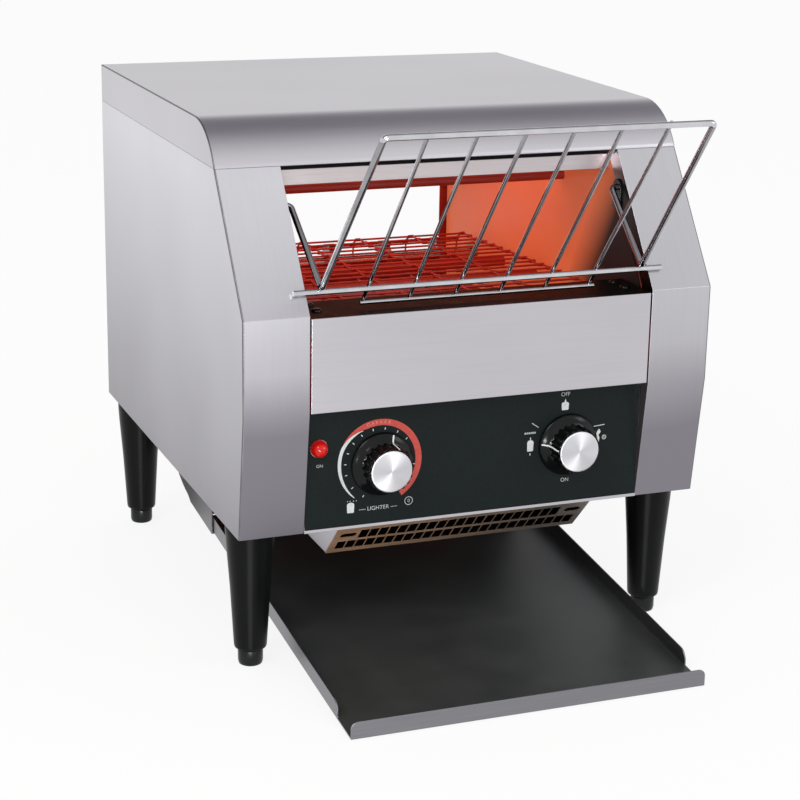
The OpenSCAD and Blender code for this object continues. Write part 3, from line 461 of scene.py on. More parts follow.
film_y = (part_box("control_overlay")[0].y - front_y) / mm
ink_t = 0.06
speed_x, select_x, knob_z = -75.0, 75.0, 159.0


def print_shape(bm, points):
    """A closed outline of (x, z) printed on the film"""
    line = [bm.verts.new((x, film_y - ink_t, z)) for x, z in points]
    face = bm.faces.new(line)
    face.normal_update()
    if face.normal.y > 0:
        face.normal_flip()


def print_arc(bm, centre, inner, outer, start, end, steps=40):
    """A ring band from one clock angle to another, each radius a function of the way along"""
    line, edges = strip(bm, [(0, film_y - ink_t, 10.0), (0, film_y - ink_t, 20.0)])
    before = set(bm.verts) - set(line)
    bmesh.ops.rotate(bm, verts=line, cent=(0, 0, 0),
                     matrix=Matrix.Rotation(math.radians(start), 3, "Y"))
    bmesh.ops.spin(bm, geom=line + edges, cent=(0, 0, 0), axis=(0, 1, 0),
                   angle=math.radians(end - start), steps=steps)
    for v in [v for v in bm.verts if v not in before]:
        r = math.hypot(v.co.x, v.co.z)
        clock = math.degrees(math.atan2(v.co.x, v.co.z))
        way = ((clock - start) % 360) / (end - start)
        way = 0.0 if way > 1.2 else min(way, 1.0)
        new_r = (inner if r < 15 else outer)(way)
        v.co.x, v.co.z = centre[0] + v.co.x * new_r / r, centre[1] + v.co.z * new_r / r


def print_words(bm, words, x, z, size, turn=0.0):
    """Words in a thin face on the film, turned clockwise about their middle in degrees"""
    text = bpy.data.curves.new("words", "FONT")
    text.body, text.size, text.align_x, text.align_y = words, size, "CENTER", "CENTER"
    text.offset = -0.05
    holder = bpy.data.objects.new("words", text)
    scene.collection.objects.link(holder)
    bpy.context.view_layer.update()
    flat = bpy.data.meshes.new_from_object(holder)
    flat.transform(Matrix.Translation((x, film_y - ink_t, z)) @ Matrix.Rotation(
        math.radians(turn), 4, "Y") @ Matrix.Rotation(math.radians(90), 4, "X"))
    bm.from_mesh(flat)
    bpy.data.objects.remove(holder)
    bpy.data.curves.remove(text)
    bpy.data.meshes.remove(flat)


def bread_icon(bm, x, z, width, height, bulge):
    """A small loaf-shaped slice with a rounded crown"""
    half = width / 2
    crown = [(half * math.cos(a), height / 2 - 0.9 + (0.9 + bulge) * math.sin(a))
             for a in [math.radians(i * 20) for i in range(10)]]
    print_shape(bm, [(x + px, z + pz) for px, pz in
                     [(-half * 0.92, -height / 2 + 0.3), (-half * 0.7, -height / 2),
                      (half * 0.7, -height / 2), (half * 0.92, -height / 2 + 0.3)] + crown])


def printed(bm, name, ink):
    """Gives the print its thickness and its object"""
    bmesh.ops.solidify(bm, geom=bm.faces[:], thickness=0.04)
    seat(piece(name, fit(bm), ink, flat=False), "housing", "overlay_film")


# Screen inks: flat, a little thinner in places
white_ink = varied("white_ink", "#dfe3e1", 0.0, 0.5, (3, 3, 3), ("#d3d8d6", "#e6eae8"),
                   (0.45, 0.55))
red_ink = varied("red_ink", "#cc4438", 0.0, 0.5, (4, 4, 4), ("#c33d32", "#d44b3e"), (0.45, 0.55))
pale_red_ink = varied("pale_red_ink", "#e59a8c", 0.0, 0.5, (3, 3, 3), ("#dc8f82", "#ecab9e"),
                      (0.45, 0.55))

dial, scale_r = (speed_x - 1.6, knob_z + 1.5), 32.7
bm = bmesh.new()
# The white crescent of the lighter half of the scale
print_arc(bm, dial, lambda w: 32.3 - 2.2 * math.sin(math.pi * min(0.5, w)) ** 0.8
          - 2.0 * max(0.0, (w - 0.6) / 0.4) ** 1.3,
          lambda w: scale_r - 4.3 * max(0.0, (w - 0.66) / 0.34) ** 1.3, -143, -28)
for clock in (-152, -128, -104, -86, -68, -50, -32, -12, 8, 30, 50, 96):
    a = math.radians(clock)
    out, across = Vector((math.sin(a), math.cos(a))), Vector((math.cos(a), -math.sin(a)))
    mid = Vector((speed_x - 1.6, knob_z)) + 26.9 * out
    print_shape(bm, [tuple(mid + out * s * 0.9 + across * t * 0.3)
                     for s, t in ((-1, -1), (-1, 1), (1, 1), (1, -1))])
bread_icon(bm, -99.0, 126.8, 5.7, 7.0, 1.0)
for dx in (-2.4, -0.4, 2.2, 4.4):
    print_shape(bm, [(-99.0 + dx + u, 132.0 + v) for u, v in ((-0.4, 0), (0.4, 0), (0, 0.9))])
print_words(bm, "LIGHTER", -77.5, 125.1, 4.4)
for i in range(5):
    for s in (-1, 1):
        print_shape(bm, [(-77.5 + s * (10.2 + 1.1 * i) + u, 124.9 + v) for u, v in
                         ((-0.3, -0.22), (0.3, -0.22), (0.3, 0.22), (-0.3, 0.22))])
print_arc(bm, (-53.5, 127.9), lambda w: 2.85, lambda w: 3.25, 0, 359.9, 28)
print_words(bm, "0", -53.5, 127.9, 3.8)
print_words(bm, "ON", -123.2, 161.7, 3.3)
# The selector: bread pictures, OFF and ON
print_words(bm, "OFF", select_x - 3.3, 198.4, 4.4)
bread_icon(bm, select_x - 3.3, 189.0, 6.0, 5.8, 0.6)
print_shape(bm, [(select_x - 3.3 + u, 192.6 + v) for u, v in ((-0.8, 0), (0.8, 0), (0, 2.4))])
print_words(bm, "ON", select_x - 1.4, 130.6, 4.3)
bread_icon(bm, 43.9, 160.0, 5.2, 7.6, 1.2)
for u in (-1, 1):
    print_shape(bm, [(43.9 + s, 160.0 + u * (5.3 + t)) for s, t in
                     ((-0.4, 0), (0.4, 0), (0.25, 1.9), (-0.25, 1.9))])
for i in range(6):
    print_shape(bm, [(39.4 + 1.6 * i + s, 170.6 + t) for s, t in
                     ((-0.45, -0.8), (0.4, -0.6), (0.45, 0.6), (-0.35, 0.8))])
print_shape(bm, [(44.6, 178.0), (50.2, 174.2), (50.4, 174.6), (44.8, 178.4)])
print_shape(bm, [(95.4, 170.6), (105.4, 171.4), (105.4, 171.9), (95.4, 171.1)])
print_shape(bm, [(101.0, 168.8), (102.4, 166.2), (100.8, 163.8), (101.6, 161.4), (101.2, 158.0),
                 (99.6, 161.6), (98.4, 164.0), (99.4, 166.6)])
print_arc(bm, (105.4, 161.6), lambda w: 1.3, lambda w: 1.8, 0, 359.9, 20)
print_arc(bm, (105.4, 161.6), lambda w: 0.1, lambda w: 0.5, 0, 359.9, 12)
printed(bm, "white_print", white_ink)

bm = bmesh.new()
# The red band of the darker half
print_arc(bm, dial, lambda w: 27.9 + 4.8 * max(0.0, 1 - w / 0.2) ** 1.1,
          lambda w: scale_r, -62, 148, 60)
printed(bm, "red_print", red_ink)
bm = bmesh.new()
for i, letter in enumerate("DARKER"):
    clock = (i - 2.5) * 6.2 - 2
    a = math.radians(clock)
    print_words(bm, letter, dial[0] + 30.3 * math.sin(a), dial[1] + 30.3 * math.cos(a), 3.7,
                clock)
for v in bm.verts:
    v.co.y -= 0.05
printed(bm, "word_on_red_print", pale_red_ink)

# ---- Indicator lamp ----
# A moulded red lens in a snap-in holder, glossy, and lit from behind.
lens_red = varied(
    "red_lens", "#cc120e", 0.0, 0.12, (5, 5, 5), ("#c4100c", "#d41a15"), (0.1, 0.16), **{
        "Specular IOR Level": 0.3, "Coat Weight": 0.15, "Coat Roughness": 0.05,
        "Emission Color": linear("#d81612"), "Emission Strength": 0.12})
to_front, to_back = (Matrix.Rotation(math.radians(a), 4, "X") for a in (90, -90))
lamp_x, lamp_z, dome = -123.5, 175.0, 6.5
bm = bmesh.new()
turned(bm, [(0.0, 2 + dome - 0.5)] + [(
    (dome - 0.5) * math.sin(math.radians(a)), 2 + (dome - 0.5) * math.cos(math.radians(a)))
    for a in range(9, 90, 9)] + [(dome - 0.5, 2.0), (dome - 0.1, 1.6), (dome, 1.2), (dome, 0.0),
                                 (dome - 1, 0.0), (dome - 1, -18.0), (0.0, -18.0)],
       Matrix.Translation((lamp_x, 12, lamp_z)) @ to_front, 40)
lamp_lens = drawn_piece("lamp_lens", bm, lens_red)
seat(lamp_lens, "housing", "lamp_red", "indicator_lamp")

# ---- Knobs ----
# Moulded black phenolic with a broad glossy skirt and shallow flutes, a white pointer line let
# into skirt and side, and a pressed aluminium cap turned on a lathe, which gives it bright
# wedges of light.
phenolic = varied("moulded_phenolic", "#090b0b", 0.0, 0.16, (7, 7, 7), ("#070909", "#0c0e0e"),
                  (0.14, 0.2), 0.01, **{"Specular IOR Level": 0.22})
pointer_white = varied("pointer_paint", "#f0f1ee", 0.0, 0.4, (2, 2, 2), ("#e6e7e4", "#f6f7f4"),
                       (0.35, 0.5))
skirt_r, grip_r, knob_l, flutes = 24.0, 17.5, 20.0, 20
knob_face = film_y - 0.3

# Turned aluminium: its grooves run round the centre and stretch each highlight
spun, tree, shader = surface("spun_aluminium", "#cdccd0", 1.0, 0.5, Anisotropic=0.7)
radial = add(tree, "Tangent", direction_type="RADIAL", axis="Y")
tree.links.new(radial.outputs[0], shader.inputs["Tangent"])
place = add(tree, "TexCoord").outputs["Object"]
fine = add(tree, "TexNoise", {0: place, "Scale": 200, "Detail": 1}).outputs[0]
dull = add(tree, "MapRange", {0: fine, 1: 0.3, 2: 0.7, 3: 0.49, 4: 0.51}).outputs[0]
tree.links.new(dull, shader.inputs["Roughness"])

for name, body, x, point in (("speed", "speed_dial", speed_x, 20),
                             ("selector", "selector_dial", select_x, -84)):
    place = Matrix.Translation((x, knob_face, knob_z)) @ to_front
    bm = bmesh.new()
    turned(bm, [(3.0, -3.0), (6.0, 0.0), (skirt_r - 0.4, 0.0), (skirt_r, 0.4),
                (skirt_r - 0.1, 1.5), (skirt_r - 1.0, 2.5), (skirt_r - 2.4, 3.1),
                (grip_r + 2.9, 3.9), (grip_r + 1.2, 5.0), (grip_r - 0.4, 6.6), (8.0, 6.6),
                (8.0, -3.0), (3.0, -3.0)], place, 72)
    # Fluted grip, drawn up from its outline
    loop = bmesh.ops.create_circle(bm, cap_ends=False, radius=grip_r,
                                   segments=flutes * 8)["verts"]
    for v in loop:
        share = (math.degrees(math.atan2(v.co.y, v.co.x)) * flutes / 360) % 1
        dip = max(0.0, 1 - (abs(share - 0.5) / 0.36) ** 2)
        v.co.xy *= (grip_r - 1.15 * dip) / grip_r
    edges = list({e for v in loop for e in v.link_edges})
    tiers = ((4.6, 1.045), (6.4, 1.0), (knob_l - 1.4, 0.985), (knob_l - 0.5, 0.968),
             (knob_l - 0.05, 0.925), (knob_l - 0.3, 0.86))
    bmesh.ops.translate(bm, vec=(0, 0, tiers[0][0]), verts=loop)
    bmesh.ops.scale(bm, vec=(tiers[0][1], tiers[0][1], 1), verts=loop)
    grown = list(loop)
    for (low, wide), (high, narrow) in zip(tiers, tiers[1:]):
        out = bmesh.ops.extrude_edge_only(bm, edges=edges)["geom"]
        edges = [g for g in out if isinstance(g, bmesh.types.BMEdge)]
        bmesh.ops.scale(bm, vec=(narrow / wide, narrow / wide, 1), verts=verts_of(out))
        bmesh.ops.translate(bm, vec=(0, 0, high - low), verts=verts_of(out))
        grown += verts_of(out)
    bmesh.ops.contextual_create(bm, geom=edges)
    bmesh.ops.transform(bm, matrix=place, verts=grown)
    # Spindle that runs back into the control
    turned(bm, [(0.0, -2.0), (2.9, -2.0), (3.0, -2.4), (3.0, -11.6), (2.6, -12.0), (0.0, -12.0)],
           place, 24)
    knob = drawn_piece(name + "_knob_body", bm, phenolic, sharp=50)
    seat(knob, body, "knob_black", name + "_knob")
    # Pointer line over the skirt and up the grip
    bm = bmesh.new()
    line, edges = strip(bm, [(-0.6, r, h) for r, h in (
        (skirt_r - 0.9, 2.62), (skirt_r - 2.4, 3.2), (grip_r + 2.9, 4.05), (grip_r + 1.2, 5.15),
        (grip_r + 0.12, 6.9), (grip_r - 0.05, knob_l - 1.5), (grip_r - 0.62, knob_l - 0.5))])
    drawn = bmesh.ops.extrude_edge_only(bm, edges=edges)["geom"]
    bmesh.ops.translate(bm, vec=(1.2, 0, 0), verts=verts_of(drawn))
    bmesh.ops.recalc_face_normals(bm, faces=bm.faces)
    bmesh.ops.solidify(bm, geom=bm.faces[:], thickness=0.12)
    # Clockwise from the top as seen from the front
    bmesh.ops.transform(bm, matrix=place @ Matrix.Rotation(math.radians(-point), 4, "Z"),
                        verts=bm.verts)
    pointer = piece(name + "_knob_pointer", fit(bm), pointer_white, flat=False)
    seat(pointer, body, "knob_black")
    # The cap has a rolled rim and lies in the grip's recess
    bm = bmesh.new()
    turned(bm, [(0.0, knob_l + 0.55), (14.6, knob_l + 0.55), (15.3, knob_l + 0.45),
                (15.65, knob_l + 0.2), (15.75, knob_l - 0.3), (15.5, knob_l - 0.8),
                (0.0, knob_l - 0.8)], place, 96)
    cap = drawn_piece(name + "_knob_disc", bm, spun)
    seat(cap, body, "spun_aluminium", name + "_knob_cap")


def dress(finish, *nodes):
    """Gives CAD nodes whose shape is right their finish"""
    for name in nodes:
        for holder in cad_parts[name].material_slots:
            holder.material = finish


# Phenolic laminate: brown-black, matt, with a faint mottle
laminate = varied("phenolic_laminate", "#3d342b", 0.0, 0.55, (4, 4, 4), ("#352d25", "#463c32"),
                  (0.5, 0.62), 0.03)
dress(laminate, "speed_control", "selector_switch")

# ---- Back ----
# Stainless back panel with an opening to the belt, air slots for the side spaces, six screws
# and a nylon gland where the mains lead goes in.
# Inside, the deep red glow of the chamber's rear is painted into it
painted_red_glow = varied("guard_painted_red_glow", "#a8362c", 0.0, 0.5, (50, 50, 20), ("#9c2d25", "#b34034"),
                  (0.45, 0.6), 0.03, **{"Specular IOR Level": 0.25})
bm = rounded(merged("back_panel"), 0.35)
inner_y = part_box("back_panel")[1].y - 0.0012
for face in bm.faces:
    face.material_index = 1 if face.calc_center_median().y < inner_y else 0
back = piece("back_sheet", bm, front_steel, painted_red_glow)
seat(back, "housing", "stainless", "back_panel")

back_y = (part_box("back_panel")[1].y - front_y) / mm
bm = bmesh.new()
for x in (-174.5, 174.5):
    for z in (131.0, 241.0, 345.5):
        screw(bm, (x, back_y, z), to_back @ Matrix.Rotation(x + z, 4, "Z"), 4.0, 2.0)
back_heads = drawn_piece("back_screw_heads", bm, zinc)
seat(back_heads, "housing", "zinc_steel", "back_screws")

nylon = varied("black_nylon", "#191a1b", 0.0, 0.42, (3, 3, 3), ("#151617", "#202122"),
               (0.38, 0.5), 0.02)
bm = bmesh.new()
gland_r, bore_r = 10.0, 5.0
turned(bm, [(bore_r, 0.5), (bore_r, 3.6), (bore_r + 0.5, 4.0), (gland_r - 1.2, 4.0),
            (gland_r - 0.3, 3.4), (gland_r, 2.4), (gland_r, 0.0), (gland_r - 3, 0.0),
            (gland_r - 3, -1.5), (gland_r, -1.5), (gland_r, -4.5), (bore_r, -4.5), (bore_r, 0.5)],
       Matrix.Translation((-120, back_y, 145)) @ to_back, 36)
gland = drawn_piece("lead_gland", bm, nylon)
seat(gland, "housing", "black_nylon", "cord_gland")

# ---- Underside, air duct and grille ----
# The bottom panel closes the housing. A folded duct under it feeds the fan through a punched
# grille that faces down to the front.
edged("base_sheet", "bottom_panel", 0.3, 1, front_steel, "stainless")

# The duct's inside, below its rim, is painted near black as shade and shows dark through the
# grille
duct_inside_painted_shade = varied("duct_steel_painted_shade", "#1d1716", 0.0, 0.6, (20, 20, 20),
                     ("#191413", "#221b1a"), (0.55, 0.65), **{"Specular IOR Level": 0.1})
bm = rounded(merged("air_duct"), 0.3)
duct_low, duct_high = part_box("air_duct")
middle = (duct_low + duct_high) / 2
# Faces inside the duct take the painted shade
for face in bm.faces:
    place = face.calc_center_median()
    inside = (middle - place).dot(face.normal) > 0.005 and place.z < duct_high.z - 0.004
    face.material_index = 1 if inside else 0
duct = piece("duct_sheet", bm, front_steel, duct_inside_painted_shade)
seat(duct, "housing", "stainless", "air_duct")

# Punched sheet in a warm tan at the left that greys to the right: a painted reflection of toast
grille_steel, tree, shader = surface("punched_steel_painted_reflection", "#c09878", 0.1, 0.34)
tint = vary(grille_steel, (40, 6, 6), ("#b58d6e", "#cba383"), (0.3, 0.42), 0.01)
way = add(tree, "MapRange", {0: along(tree, "X"), 1: -0.08, 2: 0.07}).outputs[0]
tree.links.new(blend(tree, way, tint, linear("#746b62")), shader.inputs["Base Color"])
# Only slim webs are left between the holes, which grow by this much to either side. The two
# slots are lower than the rest and grow more along the slope
wider, taller, slot_taller = 0.0005, 0.0006, 0.001
slot_height, longest_hole = 0.004, 0.03
bm = merged("intake_grille")
slope = Vector((0, 1, -1)).normalized()
face_down = Vector((0, -1, -1)).normalized()
walls = {f for f in bm.faces if abs(f.normal.dot(face_down)) < 0.5}
while walls:
    hole, fresh = set(), [walls.pop()]
    while fresh:
        face = fresh.pop()
        hole.update(face.verts)
        near = {f for e in face.edges for f in e.link_faces} & walls
        walls -= near
        fresh += near
    reach = [[key(v.co) for v in hole] for key in (lambda c: c.x, lambda c: c.dot(slope))]
    wide, high = (max(r) - min(r) for r in reach)
    if wide < longest_hole:
        middle = sum((v.co for v in hole), Vector()) / len(hole)
        grow = taller if high > slot_height else slot_taller
        for v in hole:
            off = v.co - middle
            v.co.x += math.copysign(wider, off.x)
            v.co += slope * math.copysign(grow, off.dot(slope))
grille = piece("punched_grille", rounded(bm, 0.06, 1), grille_steel)
seat(grille, "housing", "grille_steel", "intake_grille")

# ---- Oven chamber ----
# Reflector sheets round the belt. The orange on the walls and the deeper red over, under and
# behind the belt are the heat's glow, painted into their colour, and the walls' emission is a
# painted glow too. The walls are painted dark as shade where they meet the ledge.
wall_painted_glow, tree, shader = surface("reflector_painted_glow", "#e2683c", 0.0, 0.5, **{
    "Specular IOR Level": 0.25, "Emission Strength": 0.3})
tint = vary(wall_painted_glow, (60, 60, 25), ("#e17246", "#e97d51"), (0.45, 0.56), 0.02)
wall_tone = blend(tree, clear_of_painted_shade(tree), linear("#1a1413"), tint)
for socket in ("Base Color", "Emission Color"):
    tree.links.new(wall_tone, shader.inputs[socket])
dress(wall_painted_glow, "chamber_wall_left", "chamber_wall_right")
dress(painted_red_glow, "ceiling_reflector", "drop_guard", "floor_reflector")

# The baffle's top, in the slit under the hood, is painted black as the slit's shadow, and the
# sheet's pink cast is a painted glow from the chamber
baffle_steel = brushed("brushed_stainless_baffle", (40.0, 1.0, 1.0), ("#c0b7b8", "#c9c1c3"),
                       (0.36, 0.44))
slit_z = 0.3652
tree, base, bare = base_of(baffle_steel)
slit = add(tree, "MapRange", {0: along(tree, "Z"), 1: slit_z, 2: slit_z + 0.0004}).outputs[0]
tree.links.new(blend(tree, slit, bare, linear("#161517")), base)
edged("front_baffle_sheet", "front_baffle", 0.3, 2, baffle_steel, "stainless")

# ---- Heating elements ----
# Tubular sheathed heaters, four over the belt and three between its strands, glowing a dull
# red, each end in a steel collar at the chamber wall.
hot_sheath = varied(
    "glowing_sheath", "#8a2010", 0.0, 0.5, (30, 3, 3), ("#7a1a10", "#962414"), (0.45, 0.6), 0.03,
    **{"Emission Color": linear("#c8280f"), "Emission Strength": 0.15})
dress(hot_sheath, "upper_elements", "lower_elements")
lamp("element_light", 0.2, (0.0, front_y + 0.26, 0.346), (0.0, front_y + 0.26, 0.2), "#ffb090",
     0.25, 0.2)

# ---- Belt ----
# A flat wire belt: cross wires of 1.8 mm hooked to one another by short links in six rows.
# It runs round a pair of shafts, and the deep red of the heat's glow is painted into its wire.
belt_r, wire_r, belt_half = 18.6, 0.9, 127.0
idler, drive = Vector((0, 75.0, 244.5)), Vector((0, 342.0, 232.0))
belt_painted_glow = varied("belt_wire_painted_glow", "#c23a30", 0.3, 0.4, (12, 4, 4), ("#b4322a", "#cf453a"),
                  (0.34, 0.46), 0.02)


def belt_point(way):
    """A point of the belt's centre line, a distance round the loop from over the front shaft"""
    run = drive - idler
    length, onward = run.length, run.normalized()
    rise = Vector((0, -onward.z, onward.y))
    half = math.pi * belt_r
    way %= 2 * (length + half)
    if way < length:
        return idler + belt_r * rise + way * onward
    if way < length + half:
        a = (way - length) / belt_r
        return drive + belt_r * (math.cos(a) * rise + math.sin(a) * onward)
    if way < 2 * length + half:
        return drive - belt_r * rise - (way - length - half) * onward
    a = (way - 2 * length - half) / belt_r
    return idler - belt_r * (math.cos(a) * rise + math.sin(a) * onward)


def rod(bm, start, end, radius, sides):
    """A straight round wire from start to end"""
    way = Vector(end) - Vector(start)
    place = Matrix.Translation((Vector(start) + Vector(end)) / 2) @ way.to_track_quat(
        "Z", "Y").to_matrix().to_4x4()
    bmesh.ops.create_cone(bm, cap_ends=True, segments=sides, radius1=radius, radius2=radius,
                          depth=way.length, matrix=place)


def link(bm, here, after, x):
    """A short link between two cross wires, its ends hooked round them"""
    rod(bm, here + Vector((x, 0, 0)), after + Vector((x, 0, 0)), wire_r * 0.9, 8)
    for spot in (here, after):
        rod(bm, spot + Vector((x - 1.1, 0, 0)), spot + Vector((x + 1.1, 0, 0)), wire_r * 1.7, 12)


belt_loop = 2 * ((drive - idler).length + math.pi * belt_r)
# Seven wires fit once round a shaft
wires = round(belt_loop / (2 * math.pi * belt_r / 7))
bm = bmesh.new()
for i in range(wires):
    here, after = belt_point(i * belt_loop / wires), belt_point((i + 1) * belt_loop / wires)
    rod(bm, here + Vector((-belt_half, 0, 0)), here + Vector((belt_half, 0, 0)), wire_r, 12)
    shift = 1.2 if i % 2 else -1.2
    for row in (-125.4, -76, -26, 26, 76, 125.4):
        link(bm, here, after, row + shift)
belt = piece("wire_belt", fit(bm), belt_painted_glow, flat=False)
seat(belt, "housing", "belt_wire", "conveyor_belt")

# ---- Shafts, wheels and bearings ----
# Ground steel shafts in bronze bushes. The rear shaft's toothed wheels drive the belt and the
# front shaft's plain wheels carry it.
ground = varied("ground_steel", "#b9b9bd", 1.0, 0.22, (1.0, 8, 8), ("#adadb1", "#c6c6ca"),
                (0.18, 0.3))
dress(ground, "drive_shaft", "idler_shaft")
wheel_steel = varied("machined_steel", "#8f9196", 1.0, 0.34, (3, 6, 6), ("#84868b", "#9b9da2"),
                     (0.28, 0.42), 0.01)
dress(wheel_steel, "drive_sprockets", "idler_pulleys", "chain_wheel", "motor_sprocket")
bronze = varied("sintered_bronze", "#a98049", 1.0, 0.42, (1.5, 1.5, 1.5), ("#987240", "#b98f57"),
                (0.36, 0.5), 0.03)
dress(bronze, "shaft_bearings")

# ---- Chain drive ----
# A roller chain in the right-hand side space, from a gearmotor with a painted die-cast case.
oiled = varied("oiled_chain_steel", "#4b4844", 1.0, 0.3, (4, 4, 4), ("#3d3a37", "#5a5752"),
               (0.22, 0.4), 0.02)
dress(oiled, "drive_chain")
motor_paint = varied("painted_casting", "#4a4d50", 0.0, 0.5, (3, 3, 3), ("#43464a", "#525558"),
                     (0.44, 0.58), 0.08)
edged("gearmotor_case", "gearmotor", 0.8, 2, motor_paint, "motor_grey")

# ---- Fan and electrics ----
# A moulded cooling fan over the duct, the relay that switches the elements, the terminal block
# for the mains, and a high-limit thermostat on the chamber wall.
edged("fan_case", "fan_frame", 0.5, 2, nylon, "black_nylon")
dress(nylon, "fan_rotor")
case_black = varied("relay_case", "#2e3235", 0.0, 0.4, (5, 5, 5), ("#292d30", "#34383b"),
                    (0.34, 0.46), 0.02)
edged("relay_case", "relay", 0.6, 2, case_black, "black_nylon")
ivory = varied("ivory_terminal_moulding", "#d6cfbb", 0.0, 0.45, (5, 5, 5), ("#cec6b1", "#ddd7c5"),
               (0.4, 0.52), 0.02)
edged("terminal_moulding", "terminal_block", 0.4, 2, ivory, "terminal_plastic")
dress(zinc, "thermostat")

# ---- Toast chute and tray ----
# The chute is a curved stainless sheet between two cheeks. The tray slides out from under it
# and has a dark satin finish, low side walls and a folded front lip.
chute_finish = varied("satin_chute_steel", "#6f6e70", 1.0, 0.32, (40, 2, 2),
                      ("#656466", "#7a797b"), (0.28, 0.4), 0.01)
edged("curved_chute", "toast_chute", 0.3, 2, chute_finish, "chute_steel")

tray_finish = varied("satin_tray_steel", "#807f84", 1.0, 0.36, (60, 1, 1), ("#7d7c81", "#848388"),
                     (0.34, 0.38), 0.001)
# Its floor is toned darker than its walls and lip: painted shade under the housing
tray_floor_painted_shade = varied("tray_steel_floor_painted_shade", "#4d504f", 0.6, 0.38, (40, 40, 5),
                           ("#494c4b", "#525453"), (0.35, 0.42))
bm = rounded(merged("toast_tray"), 0.35, 3)
# Floor faces take the painted shade
for face in bm.faces:
    face.material_index = 1 if face.normal.z > 0.9 and face.calc_area() > 0.01 else 0
tray = piece("folded_tray", bm, tray_finish, tray_floor_painted_shade)
seat(tray, "tray", "tray_steel", "toast_tray")

# ---- Feed rack ----
# Chrome-plated round wire: a bent frame, a cross bar that rests on the posts, six ramp wires
# welded under the frame, and a lower bar across their ends. It lifts on closed brackets. The
# bars across are toned bright and the wires between them darker: painted light and reflection.
chrome = varied("chrome_plate", "#c9c9cd", 1.0, 0.1, (12, 12, 12), ("#c2c2c6", "#d0d0d4"),
                (0.08, 0.14))
painted_dark_chrome = varied("chrome_plate_painted_dark", "#9c9b9f", 1.0, 0.13, (12, 12, 12), ("#929195", "#a7a6aa"),
                (0.1, 0.17))
rack_r, bar_r, ramp_r, weld, gap = 2.3, 2.1, 1.5, 0.4, 0.3
rest = Vector((0, 8.07, 291.9))
pivot = Vector((0, 63.6, 343.0))
lean, rack_l, bar_x = math.radians(49.6), 165.0, 144.7
# The frame's sides at the top bar, the lower bends and the pivots: it widens downwards
top_x, low_x, pivot_x = (-119.0, 121.2), (-124.6, 126.8), (-128.4, 128.8)
up_lean = Vector((0, -math.cos(lean), math.sin(lean)))
toward = Vector((0, -math.sin(lean), -math.cos(lean)))
ramp_g = -(bar_r + ramp_r - weld)
frame_g = ramp_g + rack_r + ramp_r - weld
lower_s = -(rest.z - ledge_z - ramp_r - 2 * gap - 1.6) / math.sin(lean)


def rack_point(x, s, g):
    """A point of the rack at x, s up its lean and g in front of its cross bar"""
    return rest + Vector((x, 0, 0)) + s * up_lean + g * toward


def bent_wire(bm, points, radius, bend):
    """A round wire along points, its corners bent to a radius about their centres"""
    way = (points[1] - points[0]).normalized()
    before = set(bm.verts)
    ring = bmesh.ops.create_circle(
        bm, cap_ends=True, segments=20, radius=radius, matrix=Matrix.Translation(points[0])
        @ way.to_track_quat("Z", "Y").to_matrix().to_4x4())
    end = ring["verts"][0].link_faces[0]
    here = points[0]
    for corner, after in zip(points[1:], points[2:] + [None]):
        inset = 0.0
        if after is not None:
            onward = (after - corner).normalized()
            angle = way.angle(onward)
            inset = bend * math.tan(angle / 2)
        stretch = (corner - here).length - inset
        out = bmesh.ops.extrude_face_region(bm, geom=[end])["geom"]
        bmesh.ops.translate(bm, vec=way * stretch, verts=verts_of(out))
        end = next(g for g in out if isinstance(g, bmesh.types.BMFace))
        if after is None:
            break
        inward = (onward - way * onward.dot(way)).normalized()
        start = corner - way * inset
        out = bmesh.ops.spin(bm, geom=[end] + list(end.edges) + list(end.verts),
                             cent=start + inward * bend, axis=way.cross(onward).normalized(),
                             angle=angle, steps=8)["geom_last"]
        end = next(g for g in out if isinstance(g, bmesh.types.BMFace))
        here = corner + onward * inset
        way = onward
    bmesh.ops.recalc_face_normals(bm, faces=list(
        {f for v in bm.verts if v not in before for f in v.link_faces}))


bm = bmesh.new()
pivots = [Vector((s * 134.2, pivot.y, pivot.z)) for s in (-1, 1)]
knees = [Vector((x, pivot.y, pivot.z)) for x in pivot_x]
lows = [rack_point(x, 3.6, frame_g) for x in low_x]
tops = [rack_point(x, rack_l, frame_g) for x in top_x]
bent_wire(bm, [pivots[0], knees[0], lows[0], tops[0], tops[1], lows[1], knees[1], pivots[1]],
          rack_r, 3.4)
rod(bm, rack_point(-bar_x, 0, 0), rack_point(bar_x, 0, 0), bar_r, 20)
# The ramp wires spread a little towards the lower bar
for i in range(6):
    low, high = -87.4 + 35.9 * i, -86.9 + 35.4 * i
    rod(bm, rack_point(low, lower_s - 1, ramp_g), rack_point(high, rack_l - 1.2, ramp_g),
        ramp_r, 16)
    # A flattened weld where each ramp wire meets the cross bar and the top bar
    for x, s, g in ((low, 0.0, (ramp_g + 0.4) / 2),
                    (high, rack_l - 1.0, (ramp_g + frame_g) / 2)):
        bead = bmesh.ops.create_uvsphere(bm, u_segments=10, v_segments=6, radius=1.3)["verts"]
        bmesh.ops.scale(bm, vec=(1.4, 1, 1), verts=bead)
        bmesh.ops.translate(bm, vec=rack_point(x, s, g), verts=bead)
rod(bm, rack_point(-90.5, lower_s, ramp_g + 2 * ramp_r - weld),
    rack_point(95.0, lower_s, ramp_g + 2 * ramp_r - weld), ramp_r, 16)
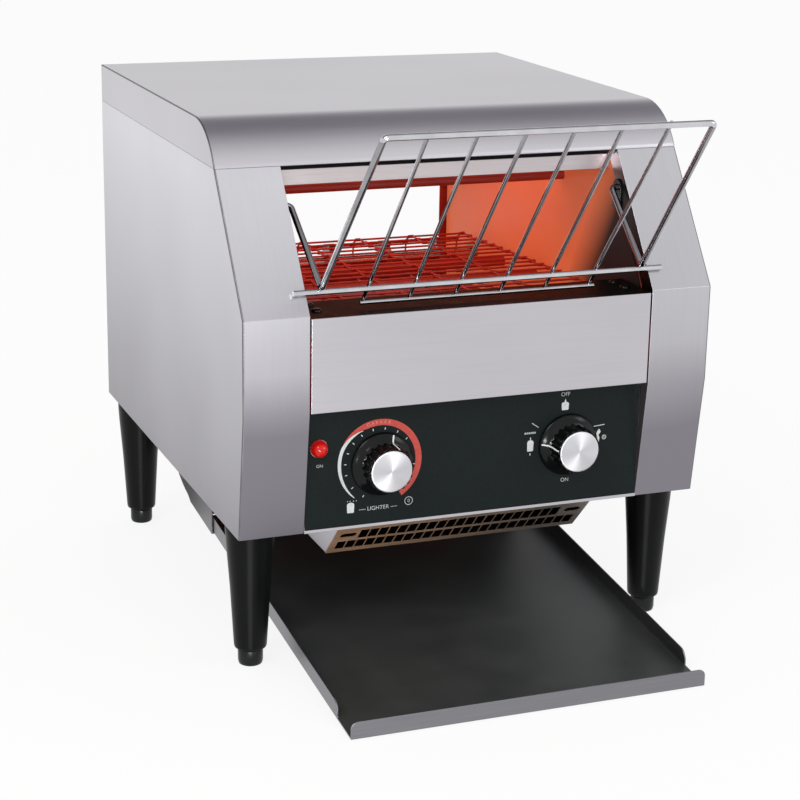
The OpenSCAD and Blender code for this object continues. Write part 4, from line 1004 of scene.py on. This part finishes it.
# The top bar, the lower bar and the cross bar take the bright tone, the rest the painted dark one
top_from, low_to, rest_half = tops[0].z - 3, 282, 2.4
for face in bm.faces:
    z = face.calc_center_median().z
    face.material_index = int(low_to <= z <= top_from and abs(z - rest.z) >= rest_half)
rack = piece("wire_feed_rack", fit(bm), chrome, painted_dark_chrome, flat=False, sharp=60)
seat(rack, "rack", "chrome_wire", "feed_rack")
# Each bracket is a thin plate against the post's flange, coloured black as painted shade
slimmer = 0.0036
for side, sign in (("left", -1), ("right", 1)):
    bm = rounded(merged("rack_bracket_" + side), 0.3, sharp=40)
    middle = sum(abs(v.co.x) for v in bm.verts) / len(bm.verts)
    for v in bm.verts:
        if abs(v.co.x) < middle:
            v.co.x += sign * slimmer
    bracket = piece(side + "_pivot_bracket", bm, blackened)
    seat(bracket, "housing", "zinc_steel", "rack_bracket_" + side)

# ---- Legs and feet ----
# Tapered moulded legs in glossy black nylon, each with a screw-in levelling foot.
# Fine mould marks run round each leg and draw its gleam out upwards.
leg_gloss, tree, shader = surface("glossy_leg_moulding", "#050606", 0.0, 0.34, Anisotropic=0.9,
                                  **{"Specular IOR Level": 0.14, "Anisotropic Rotation": 0.25})
vary(leg_gloss, (14, 14, 30), ("#040505", "#070808"), (0.32, 0.36))
around = add(tree, "Tangent", direction_type="RADIAL", axis="Z")
tree.links.new(around.outputs[0], shader.inputs["Tangent"])
foot_finish = varied("foot_moulding", "#111414", 0.0, 0.24, (8, 8, 8), ("#0f1212", "#151818"),
                     (0.2, 0.3), 0.02, **{"Specular IOR Level": 0.25})
foot_h, foot_r = 13.0, 9.5
for side, x in (("left", -165.0), ("right", 165.0)):
    for end, y, body in (("front", 46.0, "f"), ("rear", 375.0, "r")):
        place = Matrix.Translation((x, y, 0))
        bm = bmesh.new()
        turned(bm, [(5.2, foot_h + 0.35), (11.0, foot_h + 0.35), (11.9, foot_h + 0.8),
                    (12.3, foot_h + 1.8), (12.5, foot_h + 3.6), (15.2, 62.0), (17.9, 96.0),
                    (18.35, 103.5), (18.5, 105.5), (18.5, 110.6), (18.2, 110.95), (5.2, 110.95)],
               place, 64)
        leg = drawn_piece("leg_moulding_" + end + "_" + side, bm, leg_gloss, sharp=50)
        seat(leg, "housing", "leg_black", "leg_" + end + "_" + side)
        bm = bmesh.new()
        turned(bm, [(0.0, 0.0), (foot_r - 1.4, 0.0), (foot_r - 0.7, 0.5), (foot_r - 0.4, 1.2),
                    (foot_r, 3.2), (foot_r, foot_h - 1.4), (foot_r - 0.3, foot_h - 0.6),
                    (foot_r - 0.9, foot_h - 0.1), (5.0, foot_h), (5.0, 44.0), (4.4, 44.8),
                    (0.0, 44.8)], place, 48)
        foot_piece = drawn_piece("foot_moulding_" + end + "_" + side, bm, foot_finish, sharp=50)
        seat(foot_piece, "foot_" + body + side[0], "leg_black", "foot_" + end + "_" + side)
